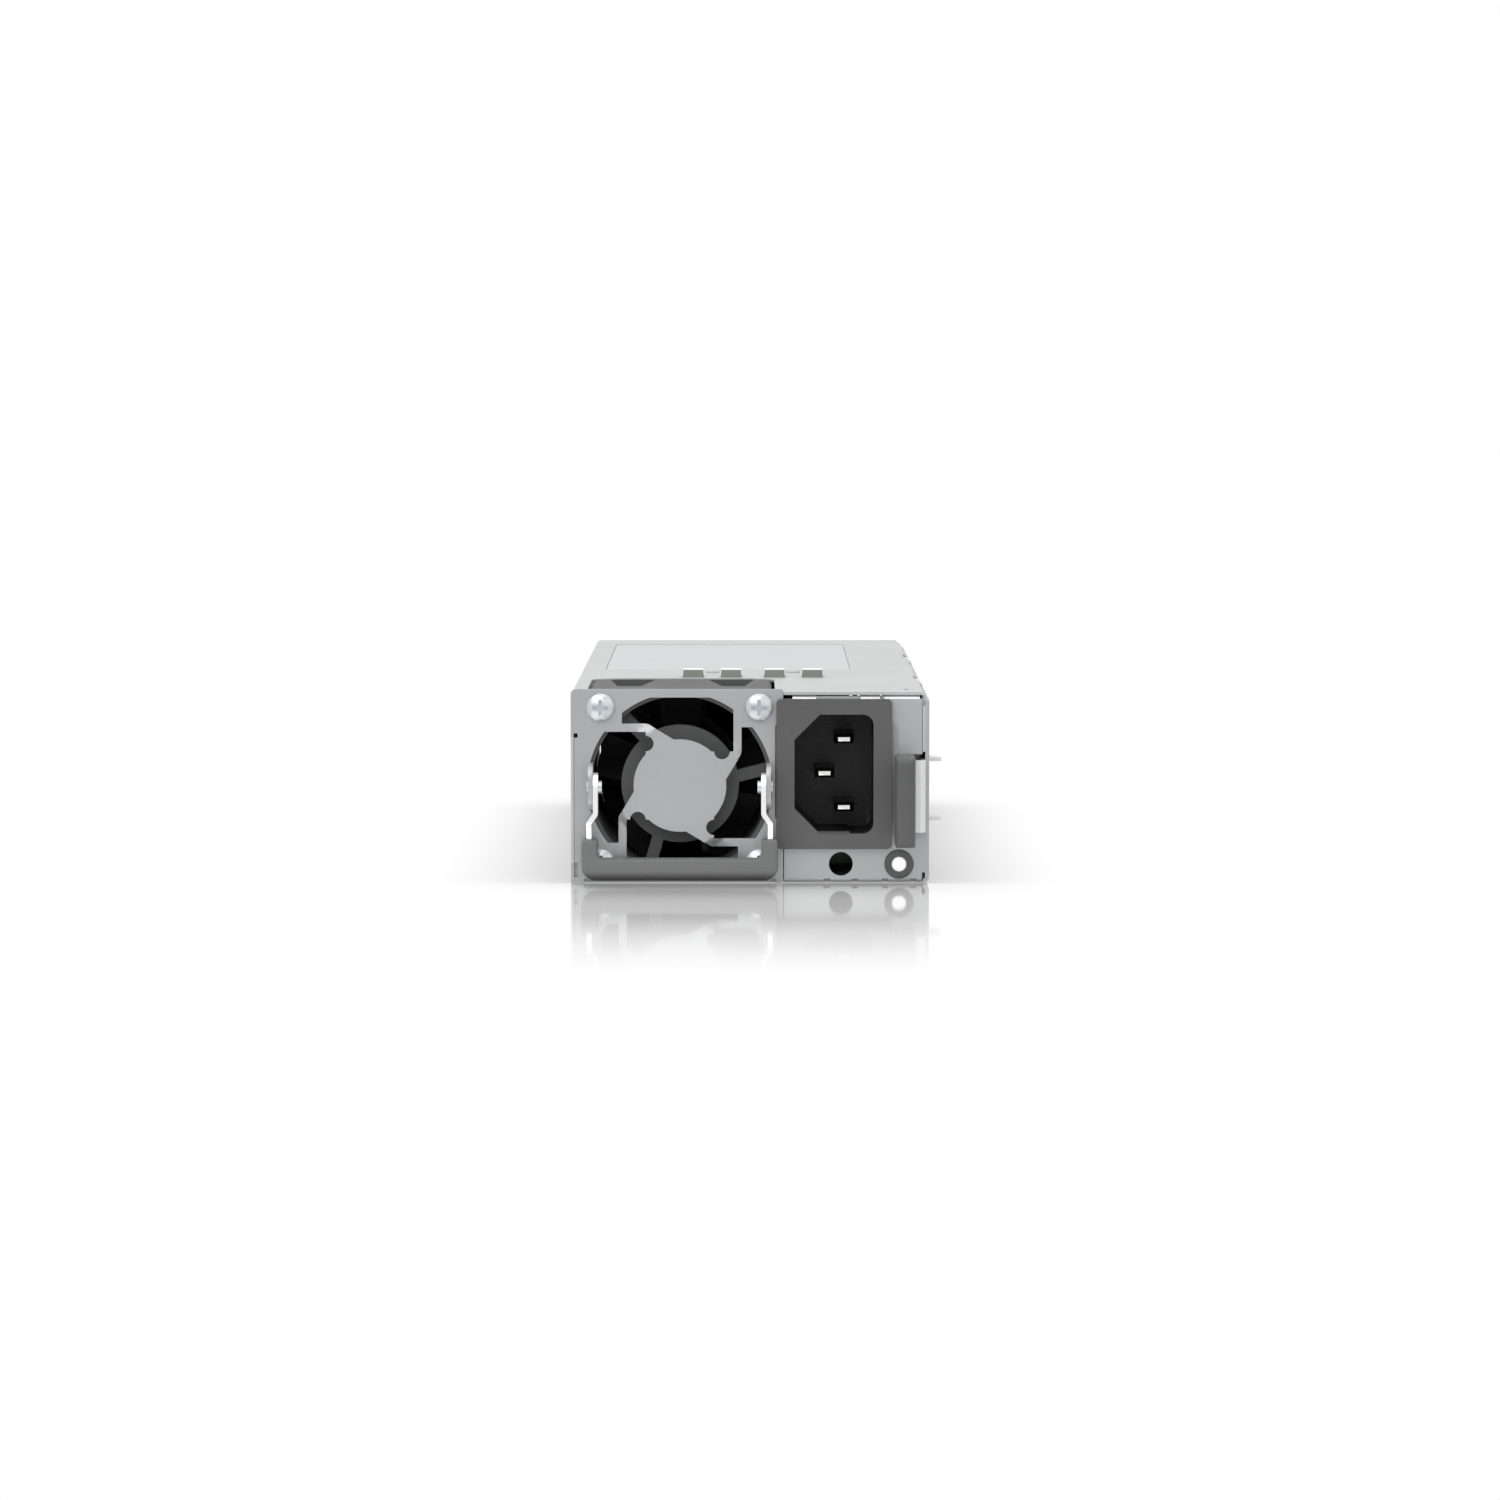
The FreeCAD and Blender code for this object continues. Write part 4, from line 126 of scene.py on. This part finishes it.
def add_world():
    world = bpy.data.worlds.new("studio")
    world.use_nodes = True
    tree = world.node_tree
    tree.nodes.clear()
    output = tree.nodes.new("ShaderNodeOutputWorld")
    soft = tree.nodes.new("ShaderNodeBackground")
    soft.inputs["Color"].default_value = WORLD_TINT
    soft.inputs["Strength"].default_value = WORLD_STRENGTH
    white = tree.nodes.new("ShaderNodeBackground")
    white.inputs["Color"].default_value = WHITE
    white.inputs["Strength"].default_value = 1.0
    both = mixed(tree, seen_rays(tree), soft.outputs[0], white.outputs[0])
    tree.links.new(both, output.inputs["Surface"])
    bpy.context.scene.world = world


def add_area(name, location, target, size, power):
    data = bpy.data.lights.new(name, "AREA")
    data.shape = "RECTANGLE"
    data.size, data.size_y = size
    data.energy = power
    lamp = bpy.data.objects.new(name, data)
    lamp.location = location
    lamp.rotation_euler = (Vector(target) - Vector(location)).to_track_quat("-Z", "Y").to_euler()
    bpy.context.scene.collection.objects.link(lamp)


def floor_material():
    """White gloss floor: a soft shadow round the case, and a mirror image that fades to the front."""
    material, tree, shader = new_material("floor_white")
    output = tree.nodes["Material Output"]
    around = tree.nodes.new("ShaderNodeAmbientOcclusion")
    around.samples = 16
    around.inputs["Distance"].default_value = FLOOR_CONTACT
    shadow = tree.nodes.new("ShaderNodeMapRange")
    set_range(shadow, SHADOW_OPENNESS, SHADOW_TONE)
    tree.links.new(around.outputs["AO"], shadow.inputs["Value"])
    tone = tree.nodes.new("ShaderNodeCombineColor")
    for socket in tone.inputs:
        tree.links.new(shadow.outputs[0], socket)
    shader.inputs["Roughness"].default_value = 0.9
    shader.inputs["Specular IOR Level"].default_value = 0.0
    shader.inputs["Base Color"].default_value = grey(FLOOR_BOUNCE)
    glow = tree.nodes.new("ShaderNodeEmission")
    tree.links.new(tone.outputs[0], glow.inputs["Color"])
    bright = mixed(tree, seen_rays(tree), shader.outputs[0], glow.outputs[0])
    mirror = tree.nodes.new("ShaderNodeBsdfGlossy")
    mirror.inputs["Roughness"].default_value = MIRROR_ROUGHNESS
    mirror.inputs["Color"].default_value = WHITE
    place = tree.nodes.new("ShaderNodeNewGeometry")
    split = tree.nodes.new("ShaderNodeSeparateXYZ")
    tree.links.new(place.outputs["Position"], split.inputs[0])
    ahead = math_node(tree, "SUBTRACT", FRONT_Y, split.outputs["Y"])
    reach = math_node(tree, "DIVIDE", ahead, MIRROR_REACH)
    fade = tree.nodes.new("ShaderNodeValToRGB")
    steps = fade.color_ramp.elements
    steps[0].position, steps[0].color = 0.0, grey(MIRROR_BEHIND)
    steps[1].position, steps[1].color = 1.0, grey(MIRROR_STEPS[-1][1])
    for distance, share in MIRROR_STEPS[:-1]:
        step = steps.new(max(distance / MIRROR_REACH, MIRROR_START))
        step.color = grey(share)
    tree.links.new(reach, fade.inputs[0])
    tree.links.new(mixed(tree, fade.outputs[0], bright, mirror.outputs[0]), output.inputs["Surface"])
    return material


def add_floor():
    mesh = bpy.data.meshes.new("floor")
    half = FLOOR_SIZE / 2
    corners = [(-half, -half, 0), (half, -half, 0), (half, half, 0), (-half, half, 0)]
    mesh.from_pydata(corners, [], [(0, 1, 2, 3)])
    floor = bpy.data.objects.new("floor", mesh)
    floor.location.z = -FLOOR_DROP
    bpy.context.scene.collection.objects.link(floor)
    mesh.materials.append(floor_material())


# ---------------------------------------------------------------- materials
NOISE_SPAN = (0.3, 0.7)          # where most values of a noise texture lie
METAL_CLOUD = (45.0, 6.0)        # scale and detail of the uneven tone
PLASTIC_CLOUD = (60.0, 3.0)
METAL_GRAIN = 0.25               # strength of the fine grain
PLASTIC_GRAIN = 0.35
LENS_GLOW = 0.3
COARSE_GRAIN = {"grain": 700.0, "depth": 0.000003}
STEEL_GREY = (0.46, 0.465, 0.475)


def new_material(name):
    material = bpy.data.materials.new(name)
    material.use_nodes = True
    tree = material.node_tree
    shader = tree.nodes["Principled BSDF"]
    return material, tree, shader


def ramp(tree, source, low, high):
    node = tree.nodes.new("ShaderNodeValToRGB")
    node.color_ramp.elements[0].position, node.color_ramp.elements[0].color = low[0], (*low[1], 1)
    node.color_ramp.elements[1].position, node.color_ramp.elements[1].color = high[0], (*high[1], 1)
    tree.links.new(source, node.inputs[0])
    return node.outputs[0]


def noise(tree, scale, detail=4.0, stretch=(1, 1, 1), roughness=0.5):
    place = tree.nodes.new("ShaderNodeTexCoord")
    mapping = tree.nodes.new("ShaderNodeMapping")
    mapping.inputs["Scale"].default_value = stretch
    node = tree.nodes.new("ShaderNodeTexNoise")
    node.inputs["Scale"].default_value = scale
    node.inputs["Detail"].default_value = detail
    node.inputs["Roughness"].default_value = roughness
    tree.links.new(place.outputs["Object"], mapping.inputs["Vector"])
    tree.links.new(mapping.outputs["Vector"], node.inputs["Vector"])
    return node.outputs["Fac"]


def set_range(node, source, result):
    """Sets the four limits of a map range node."""
    node.inputs["From Min"].default_value, node.inputs["From Max"].default_value = source
    node.inputs["To Min"].default_value, node.inputs["To Max"].default_value = result


def level(tree, source, low, high):
    node = tree.nodes.new("ShaderNodeMapRange")
    set_range(node, NOISE_SPAN, (low, high))
    tree.links.new(source, node.inputs["Value"])
    return node.outputs[0]


def bump(tree, shader, source, strength, distance):
    node = tree.nodes.new("ShaderNodeBump")
    node.inputs["Strength"].default_value = strength
    node.inputs["Distance"].default_value = distance
    tree.links.new(source, node.inputs["Height"])
    tree.links.new(node.outputs[0], shader.inputs["Normal"])


def along(tree, axis, low, high):
    """0 below low and 1 above high along one of the object's own axes, in metres."""
    place = tree.nodes.new("ShaderNodeTexCoord")
    split = tree.nodes.new("ShaderNodeSeparateXYZ")
    tree.links.new(place.outputs["Object"], split.inputs[0])
    node = tree.nodes.new("ShaderNodeMapRange")
    node.interpolation_type = "SMOOTHSTEP"
    node.inputs["From Min"].default_value = low
    node.inputs["From Max"].default_value = high
    tree.links.new(split.outputs[axis], node.inputs["Value"])
    return node.outputs[0]


def two_tone(material, mask_axis, low, high, second):
    """Mixes a second colour into the base colour along an axis."""
    tree = material.node_tree
    shader = tree.nodes["Principled BSDF"]
    first = shader.inputs["Base Color"].links[0].from_socket
    node = tree.nodes.new("ShaderNodeMix")
    node.data_type = "RGBA"
    tree.links.new(along(tree, mask_axis, low, high), node.inputs["Factor"])
    tree.links.new(first, node.inputs["A"])
    node.inputs["B"].default_value = (*second, 1)
    tree.links.new(node.outputs["Result"], shader.inputs["Base Color"])
    return material


def shade(colour, amount):
    return tuple(channel * amount for channel in colour)


def uneven(tree, shader, cloud, colour, darker, lighter):
    """The base colour drifts between a darker and a lighter tone of one colour."""
    low, high = NOISE_SPAN
    colours = ramp(tree, cloud, (low, shade(colour, darker)), (high, shade(colour, lighter)))
    tree.links.new(colours, shader.inputs["Base Color"])


def metal(name, colour, roughness=0.38, metallic=0.85, grain=1400.0, spread=0.06, stretch=(1, 1, 1),
          depth=0.00001):
    """Plated or bare metal: slightly uneven in colour and gloss, with a fine grain."""
    material, tree, shader = new_material(name)
    cloud = noise(tree, *METAL_CLOUD)
    fine = noise(tree, grain, 3.0, stretch, 0.6)
    uneven(tree, shader, cloud, colour, 1 - spread, 1 + spread * 0.4)
    shader.inputs["Metallic"].default_value = metallic
    tree.links.new(level(tree, fine, roughness - 0.05, roughness + 0.06), shader.inputs["Roughness"])
    bump(tree, shader, fine, METAL_GRAIN, depth)
    return material


def plastic(name, colour, roughness=0.5, grain=2600.0, depth=0.00002, spread=0.08, specular=0.4):
    """Moulded plastic with a fine eroded grain and a slightly uneven tone."""
    material, tree, shader = new_material(name)
    cloud = noise(tree, *PLASTIC_CLOUD)
    fine = noise(tree, grain, 2.0)
    uneven(tree, shader, cloud, colour, 1 - spread, 1 + spread)
    shader.inputs["Specular IOR Level"].default_value = specular
    tree.links.new(level(tree, fine, roughness - 0.06, roughness + 0.08), shader.inputs["Roughness"])
    bump(tree, shader, fine, PLASTIC_GRAIN, depth)
    return material


def make_materials():
    """One finish for each of the record's material slots that a node still takes."""
    m = {}
    m["sheet_steel"] = metal("sheet_steel_plated", (0.565, 0.59, 0.58), 0.42, 0.4)
    m["panel_steel"] = metal("panel_steel_plated", (0.455, 0.46, 0.47), 0.38, 0.5)
    m["screw_steel"] = metal("screw_steel_bright", (0.64, 0.675, 0.70), 0.25, 0.45, **COARSE_GRAIN)
    m["spring_steel"] = metal("spring_steel_satin", (0.88, 0.885, 0.89), 0.26, 0.8, **COARSE_GRAIN)
    m["black_plastic"] = plastic("black_plastic_moulded", (0.028, 0.028, 0.029), 0.5, specular=0.2)
    m["grey_plastic"] = plastic("grey_plastic_moulded", (0.125, 0.127, 0.125), 0.45)
    m["pin_brass"] = metal("pin_tinned", (0.78, 0.78, 0.76), 0.24, 0.8)
    m["lens_plastic"] = plastic("lens_milky", (0.95, 0.95, 0.95), 0.2, specular=0.6)
    lens = m["lens_plastic"].node_tree.nodes["Principled BSDF"]
    lens.inputs["Emission Color"].default_value = WHITE
    lens.inputs["Emission Strength"].default_value = LENS_GLOW
    m["board_laminate"] = plastic("board_green", (0.02, 0.12, 0.05), 0.3)
    m["contact_gold"] = metal("contact_gold_plate", (0.83, 0.58, 0.20), 0.22, 1.0)
    m["ferrite"] = plastic("ferrite_grey", (0.045, 0.045, 0.05), 0.5)
    m["copper_winding"] = metal("copper_enamel", (0.62, 0.27, 0.09), 0.25, 0.9)
    m["coil_tape"] = plastic("coil_tape_yellow", (0.65, 0.47, 0.06), 0.35)
    m["can_sleeve"] = plastic("can_sleeve_dark", (0.02, 0.022, 0.03), 0.25)
    m["film_box"] = plastic("film_box_yellow", (0.55, 0.43, 0.07), 0.3)
    m["relay_case"] = plastic("relay_case_dark", (0.03, 0.03, 0.03), 0.3)
    m["sink_aluminium"] = metal("sink_extruded", (0.62, 0.63, 0.64), 0.35, 1.0, stretch=(1, 0.05, 1))
    m["package_epoxy"] = plastic("package_epoxy_black", (0.02, 0.02, 0.02), 0.45)
    m["film_sheet"] = plastic("film_sheet_black", (0.02, 0.02, 0.02), 0.3)
    m["label_film"] = plastic("label_film_blank", (0.665, 0.67, 0.675), 0.4, spread=0.012)
    m["motor_core"] = metal("motor_core_laminated", (0.30, 0.27, 0.25), 0.5, 0.8)
    return m


# Radius of the small edge rounds, in mm
BEVELS = {"chassis_tray": 0.12, "top_cover": 0.12, "fan_guard_panel": 0.14, "ac_inlet_housing": 0.22,
          "fan_housing": 0.2, "fan_screws": 0.1, "status_led_bezel": 0.12, "status_light_pipe": 0.15,
          "live_pin": 0.08, "neutral_pin": 0.08, "earth_pin": 0.08, "main_board": 0.1}
SOFT_MOULDINGS = {"handle_grip": (0.22, 22), "latch_grip": (0.2, 20)}    # voxel in mm, smoothing steps
BEVEL_ANGLE = 40                 # degrees: sharper edges are rounded
CREASE_ANGLE = 50                # degrees: sharper edges stay creased
WELD_DISTANCE = 0.000002

# Bands in mm over which a finish changes to its second tone
TRAY_HIGHLIGHT_BAND = 0.05                 # either side of the inlet flange's top, on the tray; painted highlight above it
GRIP_SHADE_BAND = (1.0, 3.3)           # height over the floor; painted shade darkens the grip below it
CAVITY_SHADE_BAND = (-0.6, 0.8)        # depth from the front plane; painted shade, near black, behind it
PLATE_LAP = 1.2                  # the steel plate starts this far inside the flange's right side
PLATE_BAND = (0.02, 0.04)
PIN_SHADE_BAND = (0.10, 0.30)          # from the pin's tip; painted shade, near black, further back
CLIP_HIGHLIGHT_BAND = (-0.45, -0.15)       # from the clip's crest; painted highlight above it


def band(start, limits):
    """The two ends of a band in metres, with its limits in mm from a place."""
    return [start + limit * MM for limit in limits]


def node_materials():
    """Finishes of single nodes that differ from the rest of their slot; several paint light or shade
    into the colour.
    """
    own = {}
    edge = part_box("ac_inlet_housing")[1][2]
    # Painted shade: the tray takes a darker copy of the cover's steel for its front, and a painted
    # highlight along its top above the inlet flange
    tray_painted_light = metal("tray_steel_painted_light", (0.475, 0.48, 0.49), 0.42, 0.45)
    own["chassis_tray"] = two_tone(tray_painted_light, "Z", *band(edge, (-TRAY_HIGHLIGHT_BAND, TRAY_HIGHLIGHT_BAND)), (0.88, 0.88, 0.88))
    own["latch_leaf"] = metal("latch_steel_satin", (0.76, 0.765, 0.77), 0.3, 0.7, **COARSE_GRAIN)
    own["cover_screw"] = metal("cover_screw_steel", (0.62, 0.65, 0.66), 0.3, 0.45,
                               grain=300.0, depth=0.0000004)
    own["fan_housing"] = plastic("housing_plastic_grey", (0.148, 0.15, 0.148), 0.6, specular=0.15)
    # Painted shade: the grip is dark low down and lighter above, for the shade under its round
    grip_painted_shade = plastic("grip_plastic_painted_shade", (0.055, 0.056, 0.055), 0.5, specular=0.2)
    own["handle_grip"] = two_tone(grip_painted_shade, "Z", *band(0, GRIP_SHADE_BAND), (0.215, 0.22, 0.215))
    own["status_led_bezel"] = plastic("bezel_plastic_grey", (0.10, 0.102, 0.10), 0.4)
    # Painted shade: the inlet turns near black behind the front plane, for the shade in its socket
    inlet_painted_shade = plastic("inlet_plastic_painted_shade", (0.125, 0.127, 0.124), 0.45)
    two_tone(inlet_painted_shade, "Y", *band(FRONT_Y, CAVITY_SHADE_BAND), (0.010, 0.010, 0.011))
    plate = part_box("ac_inlet_housing")[1][0] - PLATE_LAP * MM
    own["ac_inlet_housing"] = two_tone(inlet_painted_shade, "X", *band(plate, PLATE_BAND), STEEL_GREY)
    for name in ("live_pin", "neutral_pin", "earth_pin"):
        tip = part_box(name)[0][1]
        # Painted shade: each pin is near black behind its bright tip, for the shade in the socket
        pin_painted_shade = metal(name + "_tinned", (0.80, 0.80, 0.78), 0.24, 0.8, grain=500.0, depth=0.000002)
        own[name] = two_tone(pin_painted_shade, "Y", *band(tip, PIN_SHADE_BAND), (0.02, 0.02, 0.021))
    for name in ("grounding_clip_left", "grounding_clip_right"):
        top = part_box(name)[1][2]
        # Painted highlight: each clip is light along its crest, for the glint where it faces up
        clip_painted_highlight = metal(name + "_alloy", (0.135, 0.145, 0.125), 0.34, 0.6)
        own[name] = two_tone(clip_painted_highlight, "Z", *band(top, CLIP_HIGHLIGHT_BAND), (0.82, 0.83, 0.82))
    return own


def add_bevel(obj, width):
    edge = obj.modifiers.new("rounds", "BEVEL")
    edge.width = width * MM
    edge.segments = 2
    return edge


def soften(obj, voxel, steps):
    """A moulded piece: a fine skin over the solid, smoothed."""
    skin = obj.modifiers.new("skin", "REMESH")
    skin.mode = "VOXEL"
    skin.voxel_size = voxel * MM
    skin.use_smooth_shade = True
    smooth = obj.modifiers.new("soften", "SMOOTH")
    smooth.factor = 0.5
    smooth.iterations = steps


def crease(obj):
    """A rigid piece: small edge rounds where listed, sharp edges creased, the rest smooth."""
    if obj.name in BEVELS:
        edge = add_bevel(obj, BEVELS[obj.name])
        edge.limit_method = "ANGLE"
        edge.angle_limit = math.radians(BEVEL_ANGLE)
        edge.miter_outer = "MITER_ARC"
    split = obj.modifiers.new("creases", "EDGE_SPLIT")
    split.split_angle = math.radians(CREASE_ANGLE)
    normals = obj.modifiers.new("smooth", "WEIGHTED_NORMAL")
    normals.keep_sharp = True
    for polygon in obj.data.polygons:
        polygon.use_smooth = True


def dress_nodes():
    """Every CAD node gets its finish, and its edges or its skin."""
    slots = {item["node"]: item["material_slot"] for item in frame["record"]["subparts"]}
    materials = make_materials()
    own = node_materials()
    for name, obj in NODES.items():
        obj.data.materials.clear()
        obj.data.materials.append(own[name] if name in own else materials[slots[name]])
        obj.modifiers.new("weld", "WELD").merge_threshold = WELD_DISTANCE
        if name in SOFT_MOULDINGS:
            soften(obj, *SOFT_MOULDINGS[name])
        else:
            crease(obj)
    return materials


# ---------------------------------------------------------------- pieces of the scene alone
WALL_SHEET = 0.8                 # sizes and places in mm
STRIP_ROUND = 0.05
LIP_DROP = 0.2                   # the lips start this far below the flange's top
LIP_SPAN = (8.4, 17.3)           # from the flange's left side
LIP_RIGHT_SPAN = (21.8, 22.3)
# Black insulation film strips beside the rear wall: a dark sheet put there as shade inside the case
SHADE_FILM_LEFT = (0.05, 1.05)   # from the cover's left skirt
SHADE_FILM_RIGHT = (-0.85, -0.05)    # from the cover's right side
SHADE_FILM_BACK_GAP = 0.05
SHADE_FILM_LEFT_FOOT = 1.0
SHADE_FILM_LEFT_TOP_GAP = 0.4
SHADE_FILM_RIGHT_HEIGHT = (1.4, 26.6)


def edge_strip(name, x, y, z, material):
    """A flat sheet edge with one eased corner, between two places in each axis."""
    ease = (y[1] - y[0]) / 3
    profile = [(y[0], z[0]), (y[1], z[0]), (y[1], z[1]), (y[0] + ease, z[1]), (y[0], z[1] - ease)]
    build = bmesh.new()
    rows = [[build.verts.new((place, *point)) for point in profile] for place in x]
    count = len(profile)
    for index in range(count):
        after = (index + 1) % count
        build.faces.new((rows[0][index], rows[0][after], rows[1][after], rows[1][index]))
    build.faces.new(rows[0][::-1])
    build.faces.new(rows[1])
    bmesh.ops.recalc_face_normals(build, faces=build.faces)
    mesh = bpy.data.meshes.new(name)
    build.to_mesh(mesh)
    build.free()
    strip = bpy.data.objects.new(name, mesh)
    bpy.context.scene.collection.objects.link(strip)
    mesh.materials.append(material)
    add_bevel(strip, STRIP_ROUND)
    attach(strip, "chassis")


def wall_edges(film):
    """The front wall's lips between its tabs, and black insulation film strips beside the rear wall,
    put there as shade inside the case.
    """
    steel = metal("lip_steel_plated", STEEL_GREY, 0.42, 0.45)
    sheet = WALL_SHEET * MM
    cover_low, cover_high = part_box("top_cover")
    inlet_low, inlet_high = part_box("ac_inlet_housing")
    under = cover_high[2] - sheet
    rise = (inlet_high[2] - LIP_DROP * MM, under)
    wall = (FRONT_Y, FRONT_Y + sheet)
    inner = (FRONT_Y + sheet / 2, FRONT_Y + sheet)
    rear = (cover_high[1] - sheet, cover_high[1] - SHADE_FILM_BACK_GAP * MM)
    left_height = (SHADE_FILM_LEFT_FOOT * MM, under - SHADE_FILM_LEFT_TOP_GAP * MM)
    for name, x, y, z, material, slot in (
        ("wall_upper_lip", band(inlet_low[0], LIP_SPAN), wall, rise, steel, "sheet_steel"),
        ("wall_upper_lip_right", band(inlet_low[0], LIP_RIGHT_SPAN), inner, rise, steel, "sheet_steel"),
        ("shade_film_edge_left", band(cover_low[0] + sheet, SHADE_FILM_LEFT), rear, left_height,
         film, "film_sheet"),
        ("shade_film_edge_right", band(cover_high[0], SHADE_FILM_RIGHT), rear,
         band(0, SHADE_FILM_RIGHT_HEIGHT), film, "film_sheet"),
    ):
        edge_strip(name, x, y, z, material)


bpy.context.scene.view_settings.view_transform = "Standard"
add_camera()
add_world()
for lamp in LAMPS:
    add_area(*lamp)
add_floor()
wall_edges(dress_nodes()["film_sheet"])
